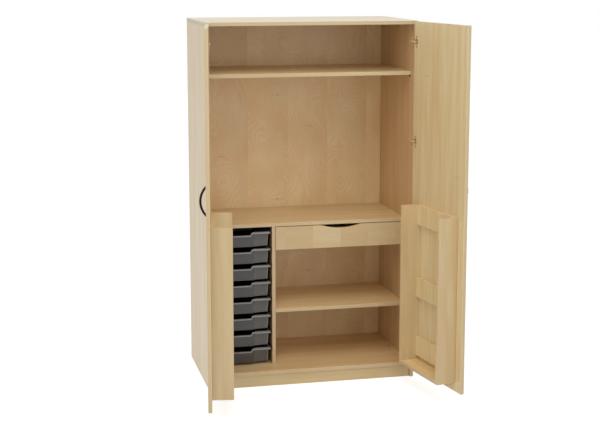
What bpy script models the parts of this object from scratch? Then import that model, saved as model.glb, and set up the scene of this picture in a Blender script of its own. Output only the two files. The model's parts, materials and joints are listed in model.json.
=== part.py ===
"""Tall school cupboard in maple: two rack doors, an upper shelf, trays, a drawer and shelves.

The cupboard stands on Z = 0 and faces -Y. The origin is the middle of the floor area that it
takes with both doors open. Each board, fitting and tray is its own closed solid, in metres.
"""

import math

import bmesh
import bpy
from mathutils import Matrix, Vector

# Carcass
WIDTH = 1.050
DEPTH = 0.600
HEIGHT = 1.800
BOARD = 0.018
SEAT = 0.0003
EDGE_ROUND = 0.0008
PLINTH_HEIGHT = 0.060
PLINTH_SETBACK = 0.010
FLOOR_SETBACK = 0.002
BACK_BOARD = 0.009
BACK_INSET = 0.0185

# Shelves and divider
UPPER_SPACE = 0.231
UPPER_SHELF_SETBACK = 0.042
MID_SHELF_TOP = 0.802
INNER_SETBACK = 0.121
LOWER_SHELF_TOP = 0.362
TRAY_BAY_WIDTH = 0.3255
SHELF_PLAY = 0.0008

# Shelf pin holes
PIN_HOLE_RADIUS = 0.0025
PIN_HOLE_DEPTH = 0.010
PIN_PITCH = 0.032
PIN_STEPS = (-2, -1, 0, 1, 2)
PIN_INSET = 0.040
HOLE_SIDES = 8

# Doors, closed: the inner face stands DOOR_REVEAL in front of the carcass
DOOR_BOARD = 0.018
DOOR_REVEAL = 0.003
DOOR_EDGE = 0.001
DOOR_MEETING_GAP = 0.003
DOOR_TOP_GAP = 0.003
DOOR_BOTTOM_GAP = 0.004
DOOR_OPEN = 99.5
PIVOT_IN = 0.0085
PIVOT_OUT = 0.012

# Cup hinges
HINGES_UP_FROM_FOOT = (0.141, 0.566)
HINGES_DOWN_FROM_TOP = (0.588, 0.099)
CUP_RADIUS = 0.0172
CUP_WALL = 0.001
CUP_DEPTH = 0.013
CUP_EDGE = 0.0033
CUP_SIDES = 24
HINGE_PLAY = 0.0003
WING_HALF_HEIGHT = 0.031
WING_INNER = 0.006
WING_OUTER = 0.0125
WING_THICKNESS = 0.001
PRESSED_STEP = 0.0002
PIN_RADIUS = 0.00125
KNUCKLE_RADIUS = 0.0023
KNUCKLE_HALF_HEIGHT = 0.0035
CHEEK_WIDTH = 0.0025
CHEEK_REACH = 0.0035
ARM_LIFT = 0.0006
ARM_STRAP = 0.0017
ARM_STAND_OFF = 0.0060
ARM_HEIGHT = 0.0080
ARM_LENGTH = 0.058
ARM_START = 0.006
PLATE_HALF_HEIGHT = 0.024
PLATE_WIDTH = 0.016
PLATE_THICKNESS = 0.002
PLATE_INSET = 0.037

# Bow handles
HANDLE_SCREW_CENTRES = 0.128
HANDLE_PROJECTION = 0.026
HANDLE_BAR_RADIUS = 0.0042
HANDLE_EDGE_DISTANCE = 0.052
HANDLE_HEIGHT = 1.030
HANDLE_POINTS = 16

# Door racks
RACK_HINGE_SIDE = 0.072
RACK_WIDTH = 0.398
RACK_DEPTH = 0.100
RACK_BOTTOM = 0.107
RACK_HEIGHT = 0.800
RACK_BOARD = 0.018
RACK_RAIL_HEIGHT = 0.099
RACK_RAIL_TOPS = (0.800, 0.4345, 0.1370)

# Trays
TRAY_COUNT = 8
TRAY_PITCH = 0.085
TOP_TRAY_RIM = 0.7587
TRAY_WIDTH = 0.312
TRAY_BACK_SPACE = 0.0305
TRAY_HEIGHT = 0.070
TRAY_WALL = 0.0025
TRAY_LIP = 0.007
TRAY_FLANGE = 0.0105
TRAY_TAPER = 0.007
TRAY_CORNER = 0.020
TRAY_RIM_CORNER = 0.008
TRAY_SETBACK = 0.115
TRAY_BULGE = 0.015
TRAY_BULGE_HALF_WIDTH = 0.0775
TRAY_BULGE_SLOPE = 0.004
TRAY_DIP = 0.013
TRAY_DIP_HALF_WIDTH = 0.0546
TRAY_DIP_SLOPE = 0.0075
TRAY_FRONT_OVERHANG = 0.004

# Tray runners
RUNNER_WEB = 0.003
RUNNER_BEARING = 0.0055
RUNNER_LEDGE = 0.0025
RUNNER_SHORTER = 0.007
RUNNER_TOP_PLAY = 0.001
RUNNER_END_MARGIN = 0.004

# Drawer
DRAWER_FRONT_HEIGHT = 0.116
DRAWER_TOP_GAP = 0.003
DRAWER_SIDE_GAP = 0.002
DRAWER_BOX_HEIGHT = 0.085
DRAWER_BACK_SPACE = 0.0132
DRAWER_SIDE = 0.012
DRAWER_BOTTOM = 0.006
DRAWER_BOTTOM_RISE = 0.008
DRAWER_SLIDE_SPACE = 0.013
DRAWER_BOX_LIFT = 0.012
SLIDE_SHEET = 0.002
SLIDE_WEB_HEIGHT = 0.030
SLIDE_LEDGE = 0.009
SCOOP_WIDTH = 0.200
SCOOP_DEPTH = 0.016
SCOOP_POINTS = 14

# Worked out from the sizes above
HALF = WIDTH / 2
INSIDE = HALF - BOARD
OPEN = math.radians(DOOR_OPEN)
DOOR_WIDTH = HALF - DOOR_EDGE - DOOR_MEETING_GAP / 2
DOOR_BOTTOM = PLINTH_HEIGHT + DOOR_BOTTOM_GAP
DOOR_TOP = HEIGHT - DOOR_TOP_GAP
HINGE_HEIGHTS = (
    *(DOOR_BOTTOM + rise for rise in HINGES_UP_FROM_FOOT),
    *(DOOR_TOP - drop for drop in HINGES_DOWN_FROM_TOP),
)
DOOR_REACH = (
    PIVOT_OUT
    + (DOOR_WIDTH - PIVOT_IN + DOOR_EDGE) * math.sin(OPEN)
    - (PIVOT_OUT - DOOR_REVEAL) * math.cos(OPEN)
)
FRONT = (DOOR_REACH - DEPTH) / 2
INSIDE_DEPTH = DEPTH - BACK_INSET - BACK_BOARD
BACK_FACE = FRONT + INSIDE_DEPTH
FLOOR_TOP = PLINTH_HEIGHT + SEAT + BOARD
UPPER_SHELF_TOP = HEIGHT - BOARD - UPPER_SPACE
MID_UNDERSIDE = MID_SHELF_TOP - BOARD
DIVIDER_LEFT = -INSIDE + TRAY_BAY_WIDTH
DIVIDER_RIGHT = DIVIDER_LEFT + BOARD
INNER_FRONT = FRONT + INNER_SETBACK
TRAY_CENTRE = (-INSIDE + DIVIDER_LEFT) / 2
TRAY_FRONT = FRONT + TRAY_SETBACK
TRAY_DEPTH = INSIDE_DEPTH - TRAY_SETBACK - TRAY_BACK_SPACE
RUNNER_LENGTH = TRAY_DEPTH - RUNNER_SHORTER
DRAWER_BOX_LENGTH = INSIDE_DEPTH - INNER_SETBACK - BOARD - SEAT - DRAWER_BACK_SPACE

MAPLE = ("maple", (0.56, 0.43, 0.24, 1.0), 0.45, 0.0)
DRAWER_MAPLE = ("drawer_maple", (0.56, 0.45, 0.27, 1.0), 0.45, 0.0)
TRAY_PLASTIC = ("tray_plastic", (0.075, 0.072, 0.070, 1.0), 0.35, 0.0)
RUNNER_PLASTIC = ("runner_plastic", (0.04, 0.04, 0.04, 1.0), 0.5, 0.0)
BLACK_HANDLE = ("black_handle", (0.01, 0.01, 0.01, 1.0), 0.4, 0.0)
HINGE_STEEL = ("hinge_steel", (0.50, 0.49, 0.47, 1.0), 0.35, 1.0)
SLIDE_STEEL = ("slide_steel", (0.60, 0.60, 0.58, 1.0), 0.4, 1.0)


def clear_scene():
    """Removes the objects that the scene starts with."""
    for obj in list(bpy.data.objects):
        bpy.data.objects.remove(obj)


def new_collection(name):
    """A collection linked to the scene."""
    collection = bpy.data.collections.new(name)
    bpy.context.scene.collection.children.link(collection)
    return collection


def finish(name, colour, roughness, metallic):
    """The material of this name, made when it is first asked for."""
    material = bpy.data.materials.get(name)
    if material is None:
        material = bpy.data.materials.new(name)
        material.use_nodes = True
        shader = material.node_tree.nodes["Principled BSDF"]
        shader.inputs["Base Color"].default_value = colour
        shader.inputs["Roughness"].default_value = roughness
        shader.inputs["Metallic"].default_value = metallic
        material.diffuse_color = colour
    return material


def mesh_object(name, bm, collection, look=None, parent=None):
    """An object from a bmesh in world coordinates; a parent's place is taken off its mesh."""
    if parent is not None:
        bmesh.ops.translate(bm, verts=bm.verts, vec=-parent.location)
    mesh = bpy.data.meshes.new(name)
    bm.to_mesh(mesh)
    bm.free()
    obj = bpy.data.objects.new(name, mesh)
    collection.objects.link(obj)
    obj.parent = parent
    if look is not None:
        mesh.materials.append(finish(*look))
    return obj


def helper_object(name, bm, parent=None):
    """A cutter, or a solid that is joined to another one, left out of the parts."""
    obj = mesh_object(name, bm, CUTTERS, parent=parent)
    obj.hide_render = True
    obj.display_type = "WIRE"
    return obj


def boolean(obj, operation, other):
    """Adds a Boolean modifier."""
    modifier = obj.modifiers.new(operation.lower() + "_" + other.name, "BOOLEAN")
    modifier.operation = operation
    modifier.object = other


def add_box(bm, low, high):
    """Adds a box between two corners."""
    low, high = Vector(low), Vector(high)
    size = high - low
    place = Matrix.Translation((low + high) / 2) @ Matrix.Diagonal((*size, 1.0))
    bmesh.ops.create_cube(bm, size=1.0, matrix=place)


def board(name, low, high, look=MAPLE, parent=None):
    """A board with lightly rounded edges between two corners."""
    bm = bmesh.new()
    add_box(bm, low, high)
    obj = mesh_object(name, bm, PARTS, look, parent)
    bevel = obj.modifiers.new("edge_round", "BEVEL")
    bevel.width = EDGE_ROUND
    bevel.segments = 1
    return obj


def prism(outline, place, length):
    """A flat outline in the XY plane of place, extruded along its Z axis by length."""
    bm = bmesh.new()
    face = bm.faces.new([bm.verts.new((x, y, 0.0)) for x, y in outline])
    grown = bmesh.ops.extrude_face_region(bm, geom=[face])["geom"]
    moved = [item for item in grown if isinstance(item, bmesh.types.BMVert)]
    bmesh.ops.translate(bm, verts=moved, vec=(0.0, 0.0, length))
    bmesh.ops.transform(bm, matrix=place, verts=bm.verts)
    bmesh.ops.recalc_face_normals(bm, faces=bm.faces)
    return bm


def add_cylinder(bm, radius, depth, sides, place):
    """Adds a closed cylinder along the Z axis of place, centred on it."""
    bmesh.ops.create_cone(
        bm, cap_ends=True, segments=sides, radius1=radius, radius2=radius, depth=depth, matrix=place
    )


def along_y(x, y, z):
    """A frame whose XY plane is the world's XZ plane and whose Z axis runs along +Y."""
    turned = Matrix(((1, 0, 0, 0), (0, 0, 1, 0), (0, 1, 0, 0), (0, 0, 0, 1)))
    return Matrix.Translation((x, y, z)) @ turned


def side_frame(side):
    """Maps (in from the outer side, out in front of the carcass, height) to the world."""
    return Matrix(
        ((-side, 0, 0, side * HALF), (0, -1, 0, FRONT), (0, 0, 1, 0), (0, 0, 0, 1))
    )


def door_point(side, along, inward, height):
    """A point of a closed door: along from its hinge edge, inward from its inner face."""
    return side_frame(side) @ Vector((DOOR_EDGE + along, DOOR_REVEAL - inward, height))


def door_box(side, along, inward, height):
    """The two corners of a box on a closed door, each range given as a pair."""
    a = door_point(side, along[0], inward[0], height[0])
    b = door_point(side, along[1], inward[1], height[1])
    low = [min(pair) for pair in zip(a, b)]
    high = [max(pair) for pair in zip(a, b)]
    return low, high


def hinge_line(name, side):
    """The empty on a door's hinge axis, turned by the angle at which the door stands open."""
    empty = bpy.data.objects.new(name, None)
    PARTS.objects.link(empty)
    empty.location = side_frame(side) @ Vector((PIVOT_IN, PIVOT_OUT, 0.0))
    empty.rotation_euler.z = side * OPEN
    return empty


def pin_holes(name, columns, rows, x_middle):
    """Cutters for blind shelf pin holes, centred in depth on a board's face at x_middle."""
    bm = bmesh.new()
    for y in columns:
        for z in rows:
            place = Matrix.Translation((x_middle, y, z)) @ Matrix.Rotation(math.pi / 2, 4, "Y")
            add_cylinder(bm, PIN_HOLE_RADIUS, 2 * PIN_HOLE_DEPTH, HOLE_SIDES, place)
    return helper_object(name, bm)


def pin_rows(underside):
    """Heights of the pin holes for a shelf: the one in use touches the shelf's underside."""
    return [underside - PIN_HOLE_RADIUS + step * PIN_PITCH for step in PIN_STEPS]


def pin_columns(setback):
    """Depths of the front and back rows of pin holes for a shelf with this setback."""
    return (FRONT + setback + PIN_INSET / 2, BACK_FACE - PIN_INSET)


def build_carcass():
    """Sides, top, floor, plinths and back."""
    side_top = HEIGHT - BOARD - SEAT
    back = FRONT + DEPTH
    left = board("side_panel_left", (-HALF, FRONT, 0.0), (-INSIDE, back, side_top))
    right = board("side_panel_right", (INSIDE, FRONT, 0.0), (HALF, back, side_top))
    board("top_panel", (-HALF, FRONT, HEIGHT - BOARD), (HALF, back, HEIGHT))
    inner = INSIDE - SEAT
    board(
        "floor_panel",
        (-inner, FRONT + FLOOR_SETBACK, PLINTH_HEIGHT + SEAT),
        (inner, BACK_FACE - SEAT, FLOOR_TOP),
    )
    plinth_front = FRONT + PLINTH_SETBACK
    board("plinth_front", (-inner, plinth_front, 0.0), (inner, plinth_front + BOARD, PLINTH_HEIGHT))
    rear = BACK_FACE - SEAT
    board("plinth_rear", (-inner, rear - BOARD, 0.0), (inner, rear, PLINTH_HEIGHT))
    board(
        "back_panel",
        (-inner, BACK_FACE, PLINTH_HEIGHT + SEAT),
        (inner, BACK_FACE + BACK_BOARD, HEIGHT - BOARD - SEAT),
    )
    upper_rows = pin_rows(UPPER_SHELF_TOP - BOARD)
    lower_rows = pin_rows(LOWER_SHELF_TOP - BOARD)
    upper_columns = pin_columns(UPPER_SHELF_SETBACK)
    lower_columns = pin_columns(INNER_SETBACK)
    boolean(left, "DIFFERENCE", pin_holes("holes_upper_left", upper_columns, upper_rows, -INSIDE))
    boolean(right, "DIFFERENCE", pin_holes("holes_upper_right", upper_columns, upper_rows, INSIDE))
    boolean(right, "DIFFERENCE", pin_holes("holes_lower_right", lower_columns, lower_rows, INSIDE))
    return pin_holes("holes_divider", lower_columns, lower_rows, DIVIDER_RIGHT)


def build_shelves(divider_holes):
    """Fixed mid shelf, divider and the two adjustable shelves."""
    rear = BACK_FACE - SEAT
    inner = INSIDE - SEAT
    loose = INSIDE - SHELF_PLAY
    board("mid_shelf", (-inner, INNER_FRONT, MID_UNDERSIDE), (inner, rear, MID_SHELF_TOP))
    divider = board(
        "divider_panel",
        (DIVIDER_LEFT, INNER_FRONT, FLOOR_TOP + SEAT),
        (DIVIDER_RIGHT, rear, MID_UNDERSIDE - SEAT),
    )
    boolean(divider, "DIFFERENCE", divider_holes)
    board(
        "upper_shelf",
        (-loose, FRONT + UPPER_SHELF_SETBACK, UPPER_SHELF_TOP - BOARD),
        (loose, rear, UPPER_SHELF_TOP),
    )
    board(
        "lower_shelf",
        (DIVIDER_RIGHT + SHELF_PLAY, INNER_FRONT, LOWER_SHELF_TOP - BOARD),
        (loose, rear, LOWER_SHELF_TOP),
    )


def bow_handle(name, side, parent):
    """An arc of round bar that meets the door's outer face at its two screw centres."""
    half_chord = HANDLE_SCREW_CENTRES / 2
    radius = (half_chord**2 + HANDLE_PROJECTION**2) / (2 * HANDLE_PROJECTION)
    centre_out = radius - HANDLE_PROJECTION
    reach = math.asin(half_chord / radius) + 2 * HANDLE_BAR_RADIUS / radius
    curve = bpy.data.curves.new(name, "CURVE")
    curve.dimensions = "3D"
    curve.bevel_depth = HANDLE_BAR_RADIUS
    curve.bevel_resolution = 2
    curve.use_fill_caps = True
    spline = curve.splines.new("POLY")
    spline.points.add(HANDLE_POINTS)
    along = DOOR_WIDTH - HANDLE_EDGE_DISTANCE
    for i, point in enumerate(spline.points):
        angle = reach * (2 * i / HANDLE_POINTS - 1)
        out = radius * math.cos(angle) - centre_out
        spot = door_point(side, along, -DOOR_BOARD - out, HANDLE_HEIGHT + radius * math.sin(angle))
        point.co = (*spot, 1.0)
    guide = bpy.data.objects.new(name + "_guide", curve)
    PARTS.objects.link(guide)
    bpy.context.view_layer.update()
    graph = bpy.context.evaluated_depsgraph_get()
    mesh = bpy.data.meshes.new_from_object(guide.evaluated_get(graph))
    bm = bmesh.new()
    bm.from_mesh(mesh)
    bpy.data.objects.remove(guide)
    bpy.data.meshes.remove(mesh)
    bmesh.ops.remove_doubles(bm, verts=bm.verts, dist=HANDLE_BAR_RADIUS / 100)
    seat = door_point(side, along, -DOOR_BOARD - SEAT, HANDLE_HEIGHT)
    cut = bmesh.ops.bisect_plane(
        bm,
        geom=bm.verts[:] + bm.edges[:] + bm.faces[:],
        plane_co=seat,
        plane_no=(0.0, 1.0, 0.0),
        clear_outer=True,
    )
    rims = [item for item in cut["geom_cut"] if isinstance(item, bmesh.types.BMEdge)]
    bmesh.ops.holes_fill(bm, edges=rims, sides=0)
    bmesh.ops.recalc_face_normals(bm, faces=bm.faces)
    obj = mesh_object(name, bm, PARTS, BLACK_HANDLE, parent)
    obj.data.shade_smooth()
    obj.data.set_sharp_from_angle(angle=math.radians(40))
    return obj


def build_rack(prefix, side, parent):
    """A door's storage rack: two side boards, a bottom board and three rails at the back."""
    free_side = RACK_HINGE_SIDE + RACK_WIDTH
    inside = (RACK_HINGE_SIDE + RACK_BOARD + SEAT, free_side - RACK_BOARD - SEAT)
    heights = (RACK_BOTTOM, RACK_BOTTOM + RACK_HEIGHT)
    depth = (SEAT, RACK_DEPTH)
    sides = {
        "rack_hinge_side": (RACK_HINGE_SIDE, RACK_HINGE_SIDE + RACK_BOARD),
        "rack_free_side": (free_side - RACK_BOARD, free_side),
    }
    for name, along in sides.items():
        board(f"{prefix}_{name}", *door_box(side, along, depth, heights), parent=parent)
    bottom = (RACK_BOTTOM, RACK_BOTTOM + RACK_BOARD)
    board(f"{prefix}_rack_bottom", *door_box(side, inside, depth, bottom), parent=parent)
    rail_depth = (SEAT, SEAT + RACK_BOARD)
    for label, top in zip(("top", "middle", "low"), RACK_RAIL_TOPS):
        rail_top = RACK_BOTTOM + top
        rail = (rail_top - RACK_RAIL_HEIGHT, rail_top)
        corners = door_box(side, inside, rail_depth, rail)
        board(f"{prefix}_rack_rail_{label}", *corners, parent=parent)


def cup_centre_along():
    """Distance of the hinge cups' centre from the door's hinge edge."""
    return CUP_EDGE + CUP_RADIUS


def door_facing(side, along, inward, height):
    """A frame on a closed door whose Z axis points inward, out of the inner face."""
    spot = door_point(side, along, inward, height)
    return Matrix.Translation(spot) @ Matrix.Rotation(-math.pi / 2, 4, "X")


def build_cup(name, side, height, parent):
    """A hinge cup: a dish with two wings, two cheeks and the pin that the arm turns on."""
    centre = cup_centre_along()
    pin_along = PIVOT_IN - DOOR_EDGE
    pin_inward = DOOR_REVEAL - PIVOT_OUT
    rim = WING_THICKNESS + SEAT
    dish = bmesh.new()
    add_cylinder(
        dish,
        CUP_RADIUS,
        CUP_DEPTH + rim,
        CUP_SIDES,
        door_facing(side, centre, (rim - CUP_DEPTH) / 2, height),
    )
    cup = mesh_object(name, dish, PARTS, HINGE_STEEL, parent)

    wings = bmesh.new()
    wing_along = (centre - WING_INNER, centre + WING_OUTER)
    wing_depth = (SEAT, rim - PRESSED_STEP)
    wing_height = (height - WING_HALF_HEIGHT, height + WING_HALF_HEIGHT)
    add_box(wings, *door_box(side, wing_along, wing_depth, wing_height))
    boolean(cup, "UNION", helper_object(name + "_wings", wings, parent))

    hollow = bmesh.new()
    hollow_depth = CUP_DEPTH - CUP_WALL
    add_cylinder(
        hollow,
        CUP_RADIUS - CUP_WALL,
        hollow_depth + 2 * rim,
        CUP_SIDES,
        door_facing(side, centre, (2 * rim - hollow_depth) / 2, height),
    )
    boolean(cup, "DIFFERENCE", helper_object(name + "_hollow", hollow, parent))

    notch = bmesh.new()
    notch_reach = KNUCKLE_HALF_HEIGHT + HINGE_PLAY
    notch_along = (0.0, pin_along)
    notch_height = (height - notch_reach, height + notch_reach)
    add_box(notch, *door_box(side, notch_along, (-CUP_DEPTH / 3, 2 * rim), notch_height))
    boolean(cup, "DIFFERENCE", helper_object(name + "_notch", notch, parent))

    cheeks = bmesh.new()
    cheek_along = (CUP_EDGE + 1.7 * CUP_WALL, pin_along + CHEEK_REACH)
    cheek_depth = (-CUP_DEPTH + CUP_WALL / 2, pin_inward + CHEEK_REACH)
    for sign in (-1, 1):
        inner = height + sign * (notch_reach + PRESSED_STEP)
        outer = inner + sign * CHEEK_WIDTH
        cheek_height = (min(inner, outer), max(inner, outer))
        add_box(cheeks, *door_box(side, cheek_along, cheek_depth, cheek_height))
    boolean(cup, "UNION", helper_object(name + "_cheeks", cheeks, parent))

    pin = bmesh.new()
    pin_place = Matrix.Translation(door_point(side, pin_along, pin_inward, height))
    pin_length = 2 * notch_reach + CHEEK_WIDTH
    add_cylinder(pin, PIN_RADIUS, pin_length, HOLE_SIDES, pin_place)
    boolean(cup, "UNION", helper_object(name + "_pin", pin, parent))
    return cup


def arm_outline():
    """The hinge arm seen from above, as (in from the outer side, out in front) points."""
    top = PIVOT_OUT + KNUCKLE_RADIUS
    low = PIVOT_OUT + ARM_LIFT
    start = math.asin(ARM_LIFT / KNUCKLE_RADIUS)
    turns = 10
    span = 1.5 * math.pi + start
    points = []
    for i in range(turns + 1):
        angle = start - span * i / turns
        x = PIVOT_IN + KNUCKLE_RADIUS * math.cos(angle)
        y = PIVOT_OUT + KNUCKLE_RADIUS * math.sin(angle)
        points.append((x, y))
    strap_outer = BOARD + ARM_STAND_OFF
    strap_inner = strap_outer - ARM_STRAP
    foot = BOARD + SEAT + PRESSED_STEP
    points += [
        (strap_outer, top),
        (strap_outer, -ARM_START / 2),
        (BOARD + ARM_HEIGHT, -ARM_START),
        (BOARD + ARM_HEIGHT, -ARM_LENGTH),
        (foot, -ARM_LENGTH),
        (foot, -ARM_START),
        (strap_inner, -ARM_START / 2),
        (strap_inner, low),
    ]
    return points


def build_arm(name, side, height):
    """A hinge arm: a strap from the pin to the cupboard's side, with its mounting plate."""
    place = side_frame(side) @ Matrix.Translation((0.0, 0.0, height - KNUCKLE_HALF_HEIGHT))
    arm = mesh_object(
        name, prism(arm_outline(), place, 2 * KNUCKLE_HALF_HEIGHT), PARTS, HINGE_STEEL
    )
    bore = bmesh.new()
    pivot = side_frame(side) @ Vector((PIVOT_IN, PIVOT_OUT, height))
    bore_length = 4 * KNUCKLE_HALF_HEIGHT
    bore_place = Matrix.Translation(pivot)
    add_cylinder(bore, PIN_RADIUS + HINGE_PLAY, bore_length, HOLE_SIDES, bore_place)
    boolean(arm, "DIFFERENCE", helper_object(name + "_bore", bore))
    plate = bmesh.new()
    a = side_frame(side) @ Vector(
        (BOARD + SEAT, -PLATE_INSET - PLATE_WIDTH / 2, height - PLATE_HALF_HEIGHT)
    )
    b = side_frame(side) @ Vector(
        (
            BOARD + SEAT + PLATE_THICKNESS,
            -PLATE_INSET + PLATE_WIDTH / 2,
            height + PLATE_HALF_HEIGHT,
        )
    )
    low = [min(pair) for pair in zip(a, b)]
    high = [max(pair) for pair in zip(a, b)]
    add_box(plate, low, high)
    boolean(arm, "UNION", helper_object(name + "_plate", plate))
    return arm


def build_door(prefix, side):
    """A door with its cup holes, its hinges, its bow handle and its rack."""
    axis = hinge_line(f"{prefix}_hinge_line", side)
    corners = door_box(side, (0.0, DOOR_WIDTH), (-DOOR_BOARD, 0.0), (DOOR_BOTTOM, DOOR_TOP))
    door = board(f"{prefix}_door", *corners, parent=axis)
    holes = bmesh.new()
    hole_depth = CUP_DEPTH + SEAT
    for height in HINGE_HEIGHTS:
        place = door_facing(side, cup_centre_along(), 0.0, height)
        add_cylinder(holes, CUP_RADIUS + SEAT, 2 * hole_depth, CUP_SIDES, place)
    boolean(door, "DIFFERENCE", helper_object(f"{prefix}_cup_holes", holes, axis))
    for number, height in enumerate(HINGE_HEIGHTS, start=1):
        build_cup(f"{prefix}_hinge_cup_{number}", side, height, axis)
        build_arm(f"{prefix}_hinge_arm_{number}", side, height)
    bow_handle(f"{prefix}_door_handle", side, axis)
    build_rack(prefix, side, axis)


def arc_points(centre_x, centre_y, radius, start, turns=3):
    """Points on a quarter turn from the start angle, both ends included."""
    step = math.pi / 2 / turns
    return [
        (
            centre_x + radius * math.cos(start + i * step),
            centre_y + radius * math.sin(start + i * step),
        )
        for i in range(turns + 1)
    ]


def tray_outline(half_width, front, back, corner, bulge, shrink):
    """A tray's plan, seen from above and going round to the right from the front.

    The middle of the front stands forward by bulge; shrink narrows that middle.
    """
    foot = TRAY_BULGE_HALF_WIDTH - shrink
    crest = foot - TRAY_BULGE_SLOPE
    dip_end = TRAY_DIP_HALF_WIDTH + TRAY_DIP_SLOPE
    steps = (-dip_end, -TRAY_DIP_HALF_WIDTH, TRAY_DIP_HALF_WIDTH, dip_end)
    middle = [(x, front - bulge) for x in (-crest, *steps, crest)]
    front_edge = [(-foot, front), *middle, (foot, front)]
    right, left = half_width - corner, corner - half_width
    return [
        *front_edge,
        *arc_points(right, front + corner, corner, -math.pi / 2),
        *arc_points(right, back - corner, corner, 0.0),
        *arc_points(left, back - corner, corner, math.pi / 2),
        *arc_points(left, front + corner, corner, math.pi),
    ]


def dip(x, y, middle):
    """How far the tray's rim drops at a point of its front."""
    if y > middle:
        return 0.0
    past = (TRAY_DIP_HALF_WIDTH + TRAY_DIP_SLOPE - abs(x)) / TRAY_DIP_SLOPE
    return -TRAY_DIP * min(max(past, 0.0), 1.0)


def loft(loops):
    """A closed solid through rings of points, each ring joined to the next, both ends capped."""
    bm = bmesh.new()
    rings = [[bm.verts.new(point) for point in loop] for loop in loops]
    for ring, following in zip(rings, rings[1:]):
        for i, vertex in enumerate(ring):
            j = (i + 1) % len(ring)
            bm.faces.new((vertex, ring[j], following[j], following[i]))
    bm.faces.new(reversed(rings[0]))
    bm.faces.new(rings[-1])
    bmesh.ops.recalc_face_normals(bm, faces=bm.faces)
    return bm


def tray_loops():
    """The rings of a tray about the middle of its rim's front edge, from outside to inside."""
    body = TRAY_WIDTH / 2 - TRAY_FLANGE
    rim = TRAY_WIDTH / 2
    body_front = TRAY_FRONT_OVERHANG + TRAY_BULGE
    body_back = TRAY_DEPTH - TRAY_FLANGE
    wall, taper = TRAY_WALL, TRAY_TAPER
    inner_corner = TRAY_CORNER - wall
    outlines = {
        "rim": tray_outline(rim, 0.0, TRAY_DEPTH, TRAY_RIM_CORNER, 0.0, 0.0),
        "skirt": tray_outline(
            rim - wall, wall, TRAY_DEPTH - wall, TRAY_RIM_CORNER - wall, 0.0, 0.0
        ),
        "top": tray_outline(body, body_front, body_back, TRAY_CORNER, TRAY_BULGE, 0.0),
        "foot": tray_outline(
            body - taper, body_front + taper, body_back - taper, TRAY_CORNER, TRAY_BULGE, taper
        ),
        "mouth": tray_outline(
            body - wall, body_front + wall, body_back - wall, inner_corner, TRAY_BULGE, wall
        ),
        "floor": tray_outline(
            body - taper - wall,
            body_front + taper + wall,
            body_back - taper - wall,
            inner_corner,
            TRAY_BULGE,
            taper + wall,
        ),
    }

    def ring(name, z, follows_rim=True):
        middle = TRAY_DEPTH / 2
        drop = dip if follows_rim else (lambda x, y, m: 0.0)
        return [(x, y, z + drop(x, y, middle)) for x, y in outlines[name]]

    return [
        ring("foot", -TRAY_HEIGHT, False),
        ring("top", -wall),
        ring("skirt", -wall),
        ring("skirt", -TRAY_LIP),
        ring("rim", -TRAY_LIP),
        ring("rim", 0.0),
        ring("mouth", 0.0),
        ring("floor", wall - TRAY_HEIGHT, False),
    ]


def build_trays():
    """Eight trays that share one mesh, numbered from the top."""
    mesh = None
    for number in range(1, TRAY_COUNT + 1):
        name = f"tray_{number}"
        if mesh is None:
            tray = mesh_object(name, loft(tray_loops()), PARTS, TRAY_PLASTIC)
            mesh = tray.data
            mesh.shade_smooth()
            mesh.set_sharp_from_angle(angle=math.radians(35))
        else:
            tray = bpy.data.objects.new(name, mesh)
            PARTS.objects.link(tray)
        tray.location = (TRAY_CENTRE, TRAY_FRONT, TOP_TRAY_RIM - (number - 1) * TRAY_PITCH)


def runner_outline():
    """Half a tray bay's runners seen from the front: a web with a channel for each tray.

    The first coordinate runs from the wall towards the tray, the second is the height.
    """
    play = (TRAY_BAY_WIDTH - TRAY_WIDTH) / 2
    reach = play + RUNNER_BEARING
    points = []
    for number in range(TRAY_COUNT):
        rim = TOP_TRAY_RIM - number * TRAY_PITCH
        roof = rim + RUNNER_TOP_PLAY
        ledge = rim - TRAY_LIP - SEAT
        points += [
            (RUNNER_WEB, roof + RUNNER_LEDGE),
            (reach, roof + RUNNER_LEDGE),
            (reach, roof),
            (RUNNER_WEB, roof),
            (RUNNER_WEB, ledge),
            (reach, ledge),
            (reach, ledge - RUNNER_LEDGE),
            (RUNNER_WEB, ledge - RUNNER_LEDGE),
        ]
    top = points[0][1] + RUNNER_END_MARGIN
    bottom = points[-1][1] - RUNNER_END_MARGIN
    return [(SEAT, top), (RUNNER_WEB, top), *points, (RUNNER_WEB, bottom), (SEAT, bottom)]


def build_runners():
    """The two sets of tray runners, on the left side panel and on the divider."""
    outline = runner_outline()
    for name, wall, sign in (
        ("tray_runners_left", -INSIDE, 1),
        ("tray_runners_right", DIVIDER_LEFT, -1),
    ):
        turned = [(sign * x, z) for x, z in outline]
        place = along_y(wall, TRAY_FRONT + RUNNER_LEDGE, 0.0)
        mesh_object(name, prism(turned, place, RUNNER_LENGTH), PARTS, RUNNER_PLASTIC)


def drawer_front_outline(left, right, bottom, top):
    """The drawer front seen from the front, with the scoop in its top edge."""
    half = SCOOP_WIDTH / 2
    radius = (half**2 + SCOOP_DEPTH**2) / (2 * SCOOP_DEPTH)
    middle = (left + right) / 2
    centre = top + radius - SCOOP_DEPTH
    reach = math.asin(half / radius)
    scoop = []
    for i in range(SCOOP_POINTS + 1):
        angle = reach * (1 - 2 * i / SCOOP_POINTS)
        scoop.append((middle + radius * math.sin(angle), centre - radius * math.cos(angle)))
    return [(left, bottom), (right, bottom), (right, top), *scoop, (left, top)]


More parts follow.
